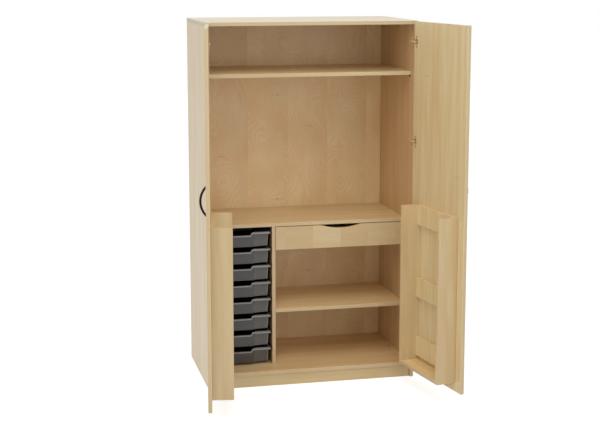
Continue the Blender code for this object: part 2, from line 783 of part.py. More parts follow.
def build_drawer():
    """Drawer front, box and the two slides that carry it."""
    left, right = DIVIDER_RIGHT + DRAWER_SIDE_GAP, INSIDE - DRAWER_SIDE_GAP
    top = MID_UNDERSIDE - DRAWER_TOP_GAP
    bottom = top - DRAWER_FRONT_HEIGHT
    outline = drawer_front_outline(left, right, bottom, top)
    front = prism(outline, along_y(0.0, INNER_FRONT, 0.0), BOARD)
    mesh_object("drawer_front", front, PARTS, DRAWER_MAPLE)

    box_left = DIVIDER_RIGHT + DRAWER_SLIDE_SPACE
    box_right = INSIDE - DRAWER_SLIDE_SPACE
    box_front = INNER_FRONT + BOARD + SEAT
    box_back = box_front + DRAWER_BOX_LENGTH
    low = bottom + DRAWER_BOX_LIFT
    high = low + DRAWER_BOX_HEIGHT
    board(
        "drawer_side_left",
        (box_left, box_front, low),
        (box_left + DRAWER_SIDE, box_back, high),
        DRAWER_MAPLE,
    )
    board(
        "drawer_side_right",
        (box_right - DRAWER_SIDE, box_front, low),
        (box_right, box_back, high),
        DRAWER_MAPLE,
    )
    inner_left, inner_right = box_left + DRAWER_SIDE + SEAT, box_right - DRAWER_SIDE - SEAT
    board(
        "drawer_back",
        (inner_left, box_back - DRAWER_SIDE, low),
        (inner_right, box_back, high),
        DRAWER_MAPLE,
    )
    floor_low = low + DRAWER_BOTTOM_RISE
    board(
        "drawer_bottom",
        (inner_left, box_front, floor_low),
        (inner_right, box_back - DRAWER_SIDE - SEAT, floor_low + DRAWER_BOTTOM),
        DRAWER_MAPLE,
    )

    ledge_top = low - SEAT
    ledge_low = ledge_top - SLIDE_SHEET
    reach = DRAWER_SLIDE_SPACE + SLIDE_LEDGE
    section = [
        (SEAT, ledge_low),
        (reach, ledge_low),
        (reach, ledge_top),
        (SEAT + SLIDE_SHEET, ledge_top),
        (SEAT + SLIDE_SHEET, ledge_top + SLIDE_WEB_HEIGHT),
        (SEAT, ledge_top + SLIDE_WEB_HEIGHT),
    ]
    for name, wall, sign in (
        ("drawer_slide_left", DIVIDER_RIGHT, 1),
        ("drawer_slide_right", INSIDE, -1),
    ):
        turned = [(sign * x, z) for x, z in section]
        place = along_y(wall, box_front, 0.0)
        mesh_object(name, prism(turned, place, DRAWER_BOX_LENGTH), PARTS, SLIDE_STEEL)


clear_scene()
PARTS = new_collection("school_cupboard")
CUTTERS = new_collection("cutters")
CUTTERS.hide_render = True
build_shelves(build_carcass())
build_door("left", -1)
build_door("right", 1)
build_trays()
build_runners()
build_drawer()
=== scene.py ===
"""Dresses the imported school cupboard: lacquered maple, moulded trays, fittings and a white studio.

Lengths are metres in the frame's own axes: +Z up, the cupboard faces -Y.
"""

import json
import logging
import math
from dataclasses import dataclass, replace
from enum import Enum, IntEnum
from functools import cache, reduce
from typing import Dict, Iterable, List, Optional, Sequence, Tuple, Union

import bmesh
import bpy
from bmesh.types import BMEdge, BMFace, BMVert
from mathutils import Matrix, Vector


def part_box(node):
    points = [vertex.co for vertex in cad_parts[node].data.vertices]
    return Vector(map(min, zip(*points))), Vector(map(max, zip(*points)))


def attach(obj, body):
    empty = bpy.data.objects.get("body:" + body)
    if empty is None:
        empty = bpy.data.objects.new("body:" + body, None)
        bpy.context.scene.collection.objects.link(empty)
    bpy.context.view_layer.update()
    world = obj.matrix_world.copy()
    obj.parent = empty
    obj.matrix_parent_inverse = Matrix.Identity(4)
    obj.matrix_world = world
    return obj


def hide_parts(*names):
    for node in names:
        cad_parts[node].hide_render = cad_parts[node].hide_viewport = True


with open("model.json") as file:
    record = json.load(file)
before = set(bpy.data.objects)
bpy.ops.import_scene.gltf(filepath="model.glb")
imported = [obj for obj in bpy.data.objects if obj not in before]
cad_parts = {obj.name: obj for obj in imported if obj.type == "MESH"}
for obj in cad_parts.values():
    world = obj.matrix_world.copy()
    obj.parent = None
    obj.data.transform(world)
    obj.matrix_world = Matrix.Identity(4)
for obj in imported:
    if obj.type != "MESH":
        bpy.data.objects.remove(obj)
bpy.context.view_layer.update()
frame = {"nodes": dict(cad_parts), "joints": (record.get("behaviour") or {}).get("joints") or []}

LOG = logging.getLogger("cupboard")

Triple = Tuple[float, float, float]
Colour = Triple
Pairs = Sequence[Tuple[float, float]]

DOOR_OPEN = math.radians(99.5)
PIVOT_FROM_DOOR_EDGE = 0.0075
PIVOT_FROM_INNER_FACE = 0.009
MERGE = 1e-6
FULL_TURN = 2.0 * math.pi
SHARP_ANGLE = math.radians(35.0)
X_WAY = (1.0, 0.0, 0.0)
Y_WAY = (0.0, 1.0, 0.0)
Z_WAY = (0.0, 0.0, 1.0)
WHITE = (1.0, 1.0, 1.0)
SMOOTH_STEP = {"interpolation_type": "SMOOTHSTEP"}
SEEN_RAYS = ("Is Camera Ray", "Is Glossy Ray", "Is Transmission Ray")


class Side(IntEnum):
    """The two sides, as the sign of their X."""

    LEFT = -1
    RIGHT = 1

    @property
    def label(self) -> str:
        """The side's word in the names of the pieces."""
        return self.name.lower()


class Value:
    """A number socket that Python's operators work on, each adding one Math node."""

    def __init__(self, graph: "Graph", socket: bpy.types.NodeSocket) -> None:
        """Keeps the graph that the socket belongs to."""
        self.graph = graph
        self.socket = socket

    def __add__(self, other: "Number") -> "Value":
        """The sum."""
        return self.graph.math("ADD", self, other)

    __radd__ = __add__

    def __sub__(self, other: "Number") -> "Value":
        """The difference."""
        return self.graph.math("SUBTRACT", self, other)

    def __rsub__(self, other: "Number") -> "Value":
        """The difference the other way round."""
        return self.graph.math("SUBTRACT", other, self)

    def __mul__(self, other: "Number") -> "Value":
        """The product."""
        return self.graph.math("MULTIPLY", self, other)

    __rmul__ = __mul__

    def __truediv__(self, other: "Number") -> "Value":
        """The quotient."""
        return self.graph.math("DIVIDE", self, other)

    def __gt__(self, other: "Number") -> "Value":
        """1 where this is greater, else 0."""
        return self.graph.math("GREATER_THAN", self, other)

    def __abs__(self) -> "Value":
        """The size without its sign."""
        return self.graph.math("ABSOLUTE", self)


Number = Union[Value, float]
Feed = Union[Value, bpy.types.NodeSocket, float, Triple, Vector]


class Graph:
    """The node tree of a material or the world, with one method that makes any node."""

    def __init__(self, owner: bpy.types.ID, shader: str = "Principled BSDF") -> None:
        """Opens the tree.

        Args:
            owner: the material or the world.
            shader: the name of the node that gives it its look.
        """
        owner.use_nodes = True
        self.owner = owner
        self.tree = owner.node_tree
        self.shader = self.tree.nodes[shader]

    def feed(self, socket: bpy.types.NodeSocket, value: Feed) -> None:
        """Links a value to an input socket, or sets it there.

        Args:
            socket: the input socket.
            value: another node's output, or a constant.
        """
        if isinstance(value, Value):
            value = value.socket
        if isinstance(value, bpy.types.NodeSocket):
            self.tree.links.new(value, socket)
        elif socket.type == "RGBA":
            socket.default_value = (*value, 1.0)
        else:
            socket.default_value = value

    def node(
        self,
        kind: str,
        settings: Optional[Dict[str, object]] = None,
        inputs: Optional[Dict[Union[str, int], Feed]] = None,
    ) -> bpy.types.Node:
        """Adds a node.

        Args:
            kind: the node's type, such as ShaderNodeMath.
            settings: the node's own properties, which are set first.
            inputs: values or links by the socket's name or number.

        Returns:
            The new node.
        """
        made = self.tree.nodes.new(kind)
        for key, value in (settings or {}).items():
            setattr(made, key, value)
        for key, value in (inputs or {}).items():
            self.feed(made.inputs[key], value)
        return made

    def math(self, operation: str, first: Feed, second: Feed = 0.0) -> Value:
        """One Math node on two numbers."""
        made = self.node("ShaderNodeMath", {"operation": operation}, {0: first, 1: second})
        return Value(self, made.outputs[0])

    def largest(self, *values: Feed) -> Value:
        """The largest of some numbers."""
        return reduce(lambda first, second: self.math("MAXIMUM", first, second), values)

    def limit(self, value: Value, low: float, high: float) -> Value:
        """A value held between two numbers."""
        return self.math("MINIMUM", self.math("MAXIMUM", value, low), high)

    def ramp(self, value: Value, low: float, high: float) -> Value:
        """A smooth step that rises from 0 at low to 1 at high."""
        inputs = {"Value": value, "From Min": low, "From Max": high}
        return Value(self, self.node("ShaderNodeMapRange", SMOOTH_STEP, inputs).outputs["Result"])

    def vector(self, operation: str, first: Feed, second: Feed) -> bpy.types.NodeSocket:
        """One Vector Math node on two vectors."""
        made = self.node("ShaderNodeVectorMath", {"operation": operation}, {0: first, 1: second})
        return made.outputs["Vector"]

    def distance(self, first: Feed, second: Feed) -> Value:
        """The distance between two points."""
        made = self.node("ShaderNodeVectorMath", {"operation": "DISTANCE"}, {0: first, 1: second})
        return Value(self, made.outputs["Value"])

    def dim(self, colour: Feed, factor: Value) -> bpy.types.NodeSocket:
        """A colour times a number."""
        inputs = {0: colour, "Scale": factor}
        return self.node("ShaderNodeVectorMath", {"operation": "SCALE"}, inputs).outputs["Vector"]

    def combine(self, x: Number, y: Number, z: Number) -> bpy.types.NodeSocket:
        """A vector from three numbers."""
        return self.node("ShaderNodeCombineXYZ", None, {0: x, 1: y, 2: z}).outputs[0]

    def separate(self, vector: Feed) -> Tuple[Value, Value, Value]:
        """The three numbers of a vector."""
        outputs = self.node("ShaderNodeSeparateXYZ", None, {0: vector}).outputs
        return tuple(Value(self, socket) for socket in outputs)

    def mix_vector(self, factor: Value, first: Feed, second: Feed) -> bpy.types.NodeSocket:
        """The first vector at factor 0 and the second at factor 1."""
        inputs = {0: factor, 4: first, 5: second}
        return self.node("ShaderNodeMix", {"data_type": "VECTOR"}, inputs).outputs[1]

    def mix_colour(self, factor: Value, first: Feed, second: Feed) -> bpy.types.NodeSocket:
        """The first colour at factor 0 and the second at factor 1."""
        inputs = {0: factor, 6: first, 7: second}
        return self.node("ShaderNodeMix", {"data_type": "RGBA"}, inputs).outputs[2]

    def noise(self, place: Feed, detail: float, roughness: float) -> Value:
        """Noise about 0.5 with features one unit of the place apart."""
        inputs = {"Vector": place, "Scale": 1.0, "Detail": detail, "Roughness": roughness}
        return Value(self, self.node("ShaderNodeTexNoise", None, inputs).outputs[0])

    def chance(self, number: Value) -> Value:
        """A number between 0 and 1 that belongs to a whole number."""
        made = self.node("ShaderNodeTexWhiteNoise", {"noise_dimensions": "1D"}, {"W": number})
        return Value(self, made.outputs["Value"])

    def place(self) -> bpy.types.NodeSocket:
        """The surface point in the object's own coordinates."""
        return self.node("ShaderNodeTexCoord").outputs["Object"]

    def bump(self, height: Value, strength: float, distance: float) -> bpy.types.NodeSocket:
        """The normal raised by a height pattern, a full step of it by the distance."""
        inputs = {"Height": height, "Strength": strength, "Distance": distance}
        return self.node("ShaderNodeBump", None, inputs).outputs["Normal"]

    def feed_shader(self, **values: Feed) -> None:
        """Feeds the shader's own sockets; an underscore stands for a space."""
        for key, value in values.items():
            self.feed(self.shader.inputs[key.replace("_", " ")], value)


@dataclass(frozen=True)
class Pattern:
    """A noise: its features' length along, across and through a board, and how fine it is."""

    size: Triple
    detail: float = 1.0
    roughness: float = 0.5
    shift: Triple = (0.0, 0.0, 0.0)
    seed_step: Triple = (3.17, 7.31, 5.13)

    def at(self, graph: Graph, place: Feed, seed: float = 0.0) -> Value:
        """The noise at a place.

        Args:
            graph: the material's graph.
            place: the point.
            seed: a number that moves the noise from board to board.

        Returns:
            The noise, about 0.5.
        """
        scaled = graph.vector("MULTIPLY", place, tuple(1.0 / length for length in self.size))
        moved = graph.vector("ADD", scaled, Vector(self.shift) + seed * Vector(self.seed_step))
        return graph.noise(moved, self.detail, self.roughness)


class Figure(Enum):
    """How the veneer of a board is laid."""

    STRAIGHT = "one quarter-cut sheet"
    LEAVES = "crown-cut leaves side by side"
    BLOCKS = "short blocks end to end"


@dataclass(frozen=True)
class Cut:
    """How a board lies: the ways of its grain and its thickness, its turn and its figure."""

    grain: Triple
    through: Triple
    turn: float = 0.0
    figure: Figure = Figure.STRAIGHT

    def axes(self) -> Matrix:
        """Rows along the grain, across it and through the board.

        Returns:
            The matrix that takes the frame's ways to the board's.
        """
        turned = Matrix.Rotation(self.turn, 3, "Z")
        grain = turned @ Vector(self.grain)
        through = turned @ Vector(self.through)
        return Matrix((grain, through.cross(grain), through))


@dataclass(frozen=True)
class Tone:
    """A board's painted light and shade: tints that lighten or darken the face that looks along its
    thickness, the face behind and the lipping, for how light falls on them.
    """

    ahead: Colour = WHITE
    behind: Colour = WHITE
    edge: Colour = WHITE


def even(colour: Colour, edge: Colour = WHITE) -> Tone:
    """The same painted light tint on both faces of a board."""
    return Tone(colour, colour, edge)


Boards = Tuple[Tuple[str, Cut, Tone], ...]

LEVEL = Cut(X_WAY, Z_WAY)
UPRIGHT = Cut(Z_WAY, X_WAY)
SHEET = Cut(Z_WAY, Y_WAY)
ACROSS = Cut(X_WAY, (0.0, -1.0, 0.0))
ALONG = Cut(Y_WAY, X_WAY)
# Painted light and shade: tints that darken and redden the side panels' inner faces, cool their
# outer faces, and lighten the rack's edges where light falls on them.
INNER_SIDE_PAINTED_SHADE = (0.86, 0.76, 0.77)
OUTER_SIDE_PAINTED_LIGHT = (0.90, 0.91, 0.98)
RACK_EDGE_PAINTED_HIGHLIGHT = (1.28, 1.20, 1.10)
RAIL_PAINTED_LIGHT = even((1.06, 1.10, 1.14), RACK_EDGE_PAINTED_HIGHLIGHT)


def wear(name: str, material: bpy.types.Material) -> None:
    """Gives a CAD node this material in place of its own.

    Args:
        name: the CAD node.
        material: its new material.
    """
    for spot in frame["nodes"][name].material_slots:
        spot.material = material
    LOG.info("%s dressed in %s", name, material.name)


class Board:
    """A board's graph: its coordinates along, across and through, and where on it a point is."""

    def __init__(self, name: str, cut: Cut, chamfer: float) -> None:
        """Measures the board and starts its material.

        Args:
            name: the CAD node.
            cut: how the board lies.
            chamfer: the width of its chamfered edges.
        """
        self.axes = cut.axes()
        points = [self.axes @ vertex.co for vertex in frame["nodes"][name].data.vertices]
        low, high = (Vector([pick(part) for part in zip(*points)]) for pick in (min, max))
        self.middle = (low + high) / 2
        half = (high - low) / 2
        self.graph = Graph(bpy.data.materials.new(f"maple_{name}"))
        inputs = {
            "Vector": self.graph.place(),
            "Location": -self.middle,
            "Rotation": Vector(self.axes.to_euler("XYZ")),
        }
        mapping = self.graph.node("ShaderNodeMapping", {"vector_type": "POINT"}, inputs)
        self.place = mapping.outputs["Vector"]
        self.x, self.y, self.z = self.graph.separate(self.place)
        self.face = abs(self.z) > half.z - chamfer
        self.end = abs(self.x) > half.x - chamfer / 2
        side = abs(self.y) > half.y - chamfer / 2
        self.solid = self.graph.largest(self.end, side, self.face)


@dataclass(frozen=True)
class Veneer:
    """What a figure makes of a board.

    Its place across the grain, the strength of the streaks, the bands and the finer grain, and
    the warmth and the light that the figure adds.
    """

    across: Value
    streak: float
    band: float = 0.0
    grain: float = 1.0
    warmth: Number = 0.0
    light: Number = 0.0


@dataclass(frozen=True)
class Maple:
    """Lacquered maple veneer on board, with solid lipping on the edges."""

    # Colours
    pale: Colour = (0.755, 0.600, 0.335)
    warm: Colour = (0.710, 0.500, 0.240)
    lip: Colour = (0.600, 0.468, 0.278)
    lip_share: float = 0.85
    core: Colour = (0.420, 0.250, 0.110)
    knot: Colour = (0.130, 0.065, 0.028)
    tail: Colour = (0.560, 0.360, 0.150)
    # Edges, whose grain is read from another part of the wood
    chamfer: float = 0.0010
    side_shift: Tuple[float, float] = (3.1, 5.0)
    end_shift: Tuple[float, float] = (7.3, 9.0)
    # Grain of every board
    wander: Pattern = Pattern((0.42, 0.16, 0.16))
    wander_reach: float = 0.022
    streak: Pattern = Pattern((0.42, 0.034, 0.034), 2.5)
    streak_gain: float = 1.90
    streak_shade: float = 0.10
    band: Pattern = Pattern((1.10, 0.110, 0.110), 0.5, shift=(6.34, 14.62, 10.26))
    band_gain: float = 1.20
    fibre: Pattern = Pattern((0.110, 0.0019, 0.0019), 3.0, 0.6)
    fibre_gain: float = 0.17
    fibre_height: float = 0.8
    fleck: Pattern = Pattern((0.009, 0.0009, 0.0009))
    fleck_range: Tuple[float, float] = (0.62, 0.74)
    fleck_gain: float = 0.12
    fleck_depth: float = 0.5
    fleck_roughness: float = 0.06
    # Crown-cut leaves
    leaf_width: float = 0.214
    leaf_joint: float = -0.0014
    leaf_step: float = 4.7
    leaf_slope: float = 0.9
    leaf_gain: float = 0.050
    leaf_streak: float = 0.25
    leaf_grain: float = 0.35
    level: Pattern = Pattern((0.24, 0.17, 1.0), 0.6)
    ring_count: float = 19.0
    ring_mean: float = 0.3
    ring_least: float = 0.25
    ring_warmth: float = 0.22
    ring_gain: float = 0.044
    ripple: Pattern = Pattern((1.0 / 14.0, 1.0 / 26.0, 1.0), 2.0)
    ripple_gain: float = 0.55
    patch: Pattern = Pattern((0.17, 0.12, 1.0), shift=(0.0, 0.0, 57.0))
    patch_range: Tuple[float, float] = (0.40, 0.62)
    cloud: Pattern = Pattern((0.16, 0.13, 1.0), 1.5, shift=(0.0, 0.0, 31.0))
    cloud_gain: float = 1.9
    # Short blocks
    block_length: float = 0.1425
    block_joint: float = 0.0296
    block_shift: float = 1.7
    block_streak: float = 0.76
    block_warmth: float = 0.5
    # Pin knots and their streaks
    knot_heart: float = 0.00108
    knot_radius: float = 0.0036
    knot_gain: float = 0.90
    tail_height: float = 0.009
    tail_reach: float = 0.060
    tail_gain: float = 0.22
    # Lacquer
    roughness: float = 0.40
    roughness_gain: float = 0.16
    specular: float = 0.32
    coat: float = 0.20
    coat_roughness: float = 0.12
    bump_strength: float = 0.22
    bump_height: float = 0.00025

    def leaves(self, board: Board, seed: float) -> Veneer:
        """Peeled leaves side by side, with rings where the blade cut through a wavy trunk.

        Args:
            board: the board.
            seed: the board's number.

        Returns:
            Leaves of their own tone, with clouds of warmer and paler wood and with rings.
        """
        graph = board.graph
        count = (board.y - (self.leaf_joint - board.middle.y)) / self.leaf_width
        leaf = graph.math("FLOOR", count)
        share = count - leaf
        tone = graph.chance(leaf + seed) + self.leaf_slope * (0.5 - share)
        place = graph.combine(board.x, share * self.leaf_width, leaf * self.leaf_step + seed)
        patterns = (self.level, self.ripple, self.patch, self.cloud)
        level, ripple, patch, cloud = (pattern.at(graph, place) for pattern in patterns)
        turns = level * self.ring_count + ripple * self.ripple_gain
        rings = graph.math("SINE", turns * FULL_TURN) * 0.5 + 0.5
        clear = graph.ramp(patch, *self.patch_range)
        rings = rings * (self.ring_least + (1.0 - self.ring_least) * clear) - self.ring_mean
        warmth = (cloud - 0.5) * self.cloud_gain + rings * self.ring_warmth
        light = (tone - 0.5) * self.leaf_gain + rings * self.ring_gain
        return Veneer(board.y, self.leaf_streak, 0.0, self.leaf_grain, warmth, light)

    def veneer(self, board: Board, figure: Figure, seed: float) -> Veneer:
        """What a figure makes of a board.

        Args:
            board: the board.
            figure: how its veneer is laid.
            seed: the board's number.

        Returns:
            The strength of its grain, and what the figure adds.
        """
        if figure is Figure.LEAVES:
            return self.leaves(board, seed)
        if figure is Figure.STRAIGHT:
            return Veneer(board.y, self.streak_gain, self.band_gain)
        count = (board.x - (self.block_joint - board.middle.x)) / self.block_length
        tone = board.graph.chance(board.graph.math("FLOOR", count) + seed)
        warmth, light = (tone - 0.5) * self.block_warmth, (tone - 0.5) * self.leaf_gain
        across = board.y + tone * self.block_shift
        return Veneer(across, self.block_streak, warmth=warmth, light=light)

    def knots(self, board: Board, spots: Sequence[Triple]) -> Tuple[Value, Value]:
        """Pin knots, each with a streak of bent grain across.

        Args:
            board: the board.
            spots: the knots' middles in the frame's coordinates.

        Returns:
            1 in a knot, and 1 in its streak, falling to 0 away from them.
        """
        graph = board.graph
        squeeze = Vector((1.0 / self.tail_height, 1.0 / self.tail_reach, 1.0 / self.tail_height))
        squeezed = graph.vector("MULTIPLY", board.place, squeeze)
        marks = []
        for spot in spots:
            middle = board.axes @ Vector(spot) - board.middle
            reach = graph.distance(board.place, middle)
            away = graph.distance(squeezed, middle * squeeze)
            heart = graph.ramp(reach, self.knot_heart, self.knot_radius)
            marks.append((1.0 - heart, 1.0 - graph.ramp(away, 0.0, 1.0)))
        knots, tails = zip(*marks)
        return graph.largest(*knots), graph.largest(*tails)

    def dress(
        self,
        name: str,
        cut: Cut,
        seed: float,
        tone: Tone = Tone(),
        spots: Sequence[Triple] = (),
    ) -> None:
        """Puts maple on a board of the frame.

        Args:
            name: the CAD node.
            cut: how the board lies.
            seed: a number that moves the grain from board to board.
            tone: the painted light and shade on the board, as tints of its two faces and its
                lipping.
            spots: the middles of pin knots, in the frame's coordinates.
        """
        board = Board(name, cut, self.chamfer)
        graph = board.graph
        veneer = self.veneer(board, cut.figure, seed)
        side_lift, side_depth = self.side_shift
        end_lift, end_depth = self.end_shift
        sides = graph.combine(board.x, board.z + side_lift, side_depth)
        ends = graph.combine(board.y, board.z + end_lift, end_depth)
        edges = graph.mix_vector(board.end, sides, ends)
        face = graph.combine(board.x, veneer.across, board.z)
        surface = graph.mix_vector(board.face, edges, face)
        waver = (self.wander.at(graph, surface, seed) - 0.5) * self.wander_reach
        bent = graph.vector("ADD", surface, graph.combine(0.0, waver, 0.0))
        patterns = (self.streak, self.band, self.fibre)
        streaks, bands, fibres = (pattern.at(graph, bent, seed) - 0.5 for pattern in patterns)
        flecks = graph.ramp(self.fleck.at(graph, bent, seed), *self.fleck_range)

        warmth = 0.5 + streaks * veneer.streak + bands * veneer.band + veneer.warmth
        colour = graph.mix_colour(graph.limit(warmth, 0.0, 1.0), self.warm, self.pale)
        # Painted light and shade: the tints lighten or darken the two faces and the lipping.
        tint = graph.mix_colour(board.z > 0.0, tone.behind, tone.ahead)
        colour = graph.vector("MULTIPLY", colour, tint)
        lip = tuple(part * share for part, share in zip(self.lip, tone.edge))
        colour = graph.mix_colour((1.0 - board.face) * self.lip_share, colour, lip)
        grain = (fibres * self.fibre_gain + streaks * self.streak_shade) * veneer.grain
        light = 1.0 + grain - flecks * self.fleck_gain + board.face * veneer.light
        colour = graph.mix_colour(board.solid, self.core, graph.dim(colour, light))
        if spots:
            knot, tail = self.knots(board, spots)
            colour = graph.mix_colour(tail * self.tail_gain, colour, self.tail)
            colour = graph.mix_colour(knot * self.knot_gain, colour, self.knot)

        height = fibres * self.fibre_height - flecks * self.fleck_depth
        graph.feed_shader(
            Base_Color=colour,
            Roughness=self.roughness + fibres * self.roughness_gain + flecks * self.fleck_roughness,
            Coat_Weight=self.coat,
            Coat_Roughness=self.coat_roughness,
            Specular_IOR_Level=self.specular,
            Normal=graph.bump(height, self.bump_strength, self.bump_height),
        )
        wear(name, graph.owner)

    def dress_all(self, boards: Boards, seed: float, prefix: str = "", turn: float = 0.0) -> None:
        """Puts maple on some boards, each with the next seed.

        Args:
            boards: their names, cuts and painted light tints.
            seed: the first board's number.
            prefix: what their names start with.
            turn: how far they stand turned.
        """
        for number, (name, cut, tone) in enumerate(boards):
            self.dress(prefix + name, replace(cut, turn=turn), seed + number, tone)


@dataclass(frozen=True)
class Plastic:
    """Moulded or powder-coated plain colour with a fine texture."""

    name: str
    colour: Colour
    roughness: float
    fine: Pattern = Pattern((0.0012,) * 3, 2.0, 0.6)
    cloud: Pattern = Pattern((1.0 / 11.0,) * 3, 2.0)
    mottle: float = 0.05
    cloud_roughness: float = 0.10
    fine_roughness: float = 0.06
    bump_strength: float = 0.12
    bump_height: float = 0.00008
    metallic: float = 0.0
    specular: float = 0.5

    @cache
    def material(self) -> bpy.types.Material:
        """Makes the material when it is first asked for.

        Returns:
            The material.
        """
        graph = Graph(bpy.data.materials.new(self.name))
        place = graph.place()
        fine = self.fine.at(graph, place) - 0.5
        cloud = self.cloud.at(graph, place) - 0.5
        shade = 1.0 + cloud * (2.0 * self.mottle) + fine * self.mottle
        rough = self.roughness + cloud * self.cloud_roughness + fine * self.fine_roughness
        graph.feed_shader(
            Base_Color=graph.dim(self.colour, shade),
            Roughness=rough,
            Metallic=self.metallic,
            Specular_IOR_Level=self.specular,
            Normal=graph.bump(fine, self.bump_strength, self.bump_height),
        )
        return graph.owner


@dataclass(frozen=True)
class Finishes:
    """Every plain finish of the cupboard."""

    tray: Plastic = Plastic("tray_grey", (0.066, 0.064, 0.062), 0.30)
    # Painted light on the trays: a lighter grey beside the block, a paler grey highlight on the rim,
    # and taupe on the edges and corners as a painted reflection of the wood.
    tray_side: Plastic = Plastic("tray_side_grey", (0.098, 0.095, 0.092), 0.30)
    tray_rim: Plastic = Plastic("tray_rim_grey", (0.300, 0.292, 0.288), 0.36)
    tray_edge: Plastic = Plastic("tray_edge_taupe", (0.270, 0.220, 0.180), 0.22)
    tray_corner: Plastic = Plastic("tray_corner_taupe", (0.370, 0.325, 0.275), 0.26)
    runner: Plastic = Plastic("runner_charcoal", (0.020, 0.021, 0.026), 0.42)
    handle: Plastic = Plastic("handle_black", (0.0045, 0.0045, 0.0050), 0.42, specular=0.14)
    pin: Plastic = Plastic("pin_black", (0.006, 0.006, 0.006), 0.45, specular=0.20)
    cam: Plastic = Plastic("cam_cap_grey", (0.190, 0.205, 0.260), 0.40)
    hinge: Plastic = Plastic("hinge_tan_enamel", (0.660, 0.450, 0.240), 0.42)
    hinge_screw: Plastic = Plastic("hinge_screw_bronze", (0.240, 0.150, 0.070), 0.45)
    slide: Plastic = Plastic("slide_zinc", (0.55, 0.55, 0.54), 0.38, metallic=1.0)


def only(items: Iterable[object], kind: type) -> list:
    """The items of one kind."""
    return [item for item in items if isinstance(item, kind)]


def facing(spot: Triple, direction: Triple) -> Matrix:
    """A frame at a point whose Z axis looks along a direction."""
    turn = Vector(direction).to_track_quat("Z", "Y").to_matrix().to_4x4()
    return Matrix.Translation(spot) @ turn


def middle_of(name: str) -> Vector:
    """The middle of a CAD node's box."""
    low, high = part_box(name)
    return (low + high) / 2


@dataclass(frozen=True)
class Button:
    """A small turned form: its half section in shares of its radius and height."""

    profile: Pairs
    steps: int


SCREW_HEAD = Button(
    (
        (0.0, 0.55),
        (0.28, 0.55),
        (0.36, 0.98),
        (0.60, 0.90),
        (0.88, 0.55),
        (1.0, 0.12),
        (1.0, 0.0),
        (0.0, 0.0),
    ),
    20,
)
CAM_CAP = Button(
    (
        (0.0, 0.25),
        (0.30, 0.25),
        (0.38, 0.95),
        (0.80, 1.0),
        (0.95, 0.70),
        (1.0, 0.0),
        (0.0, 0.0),
    ),
    28,
)


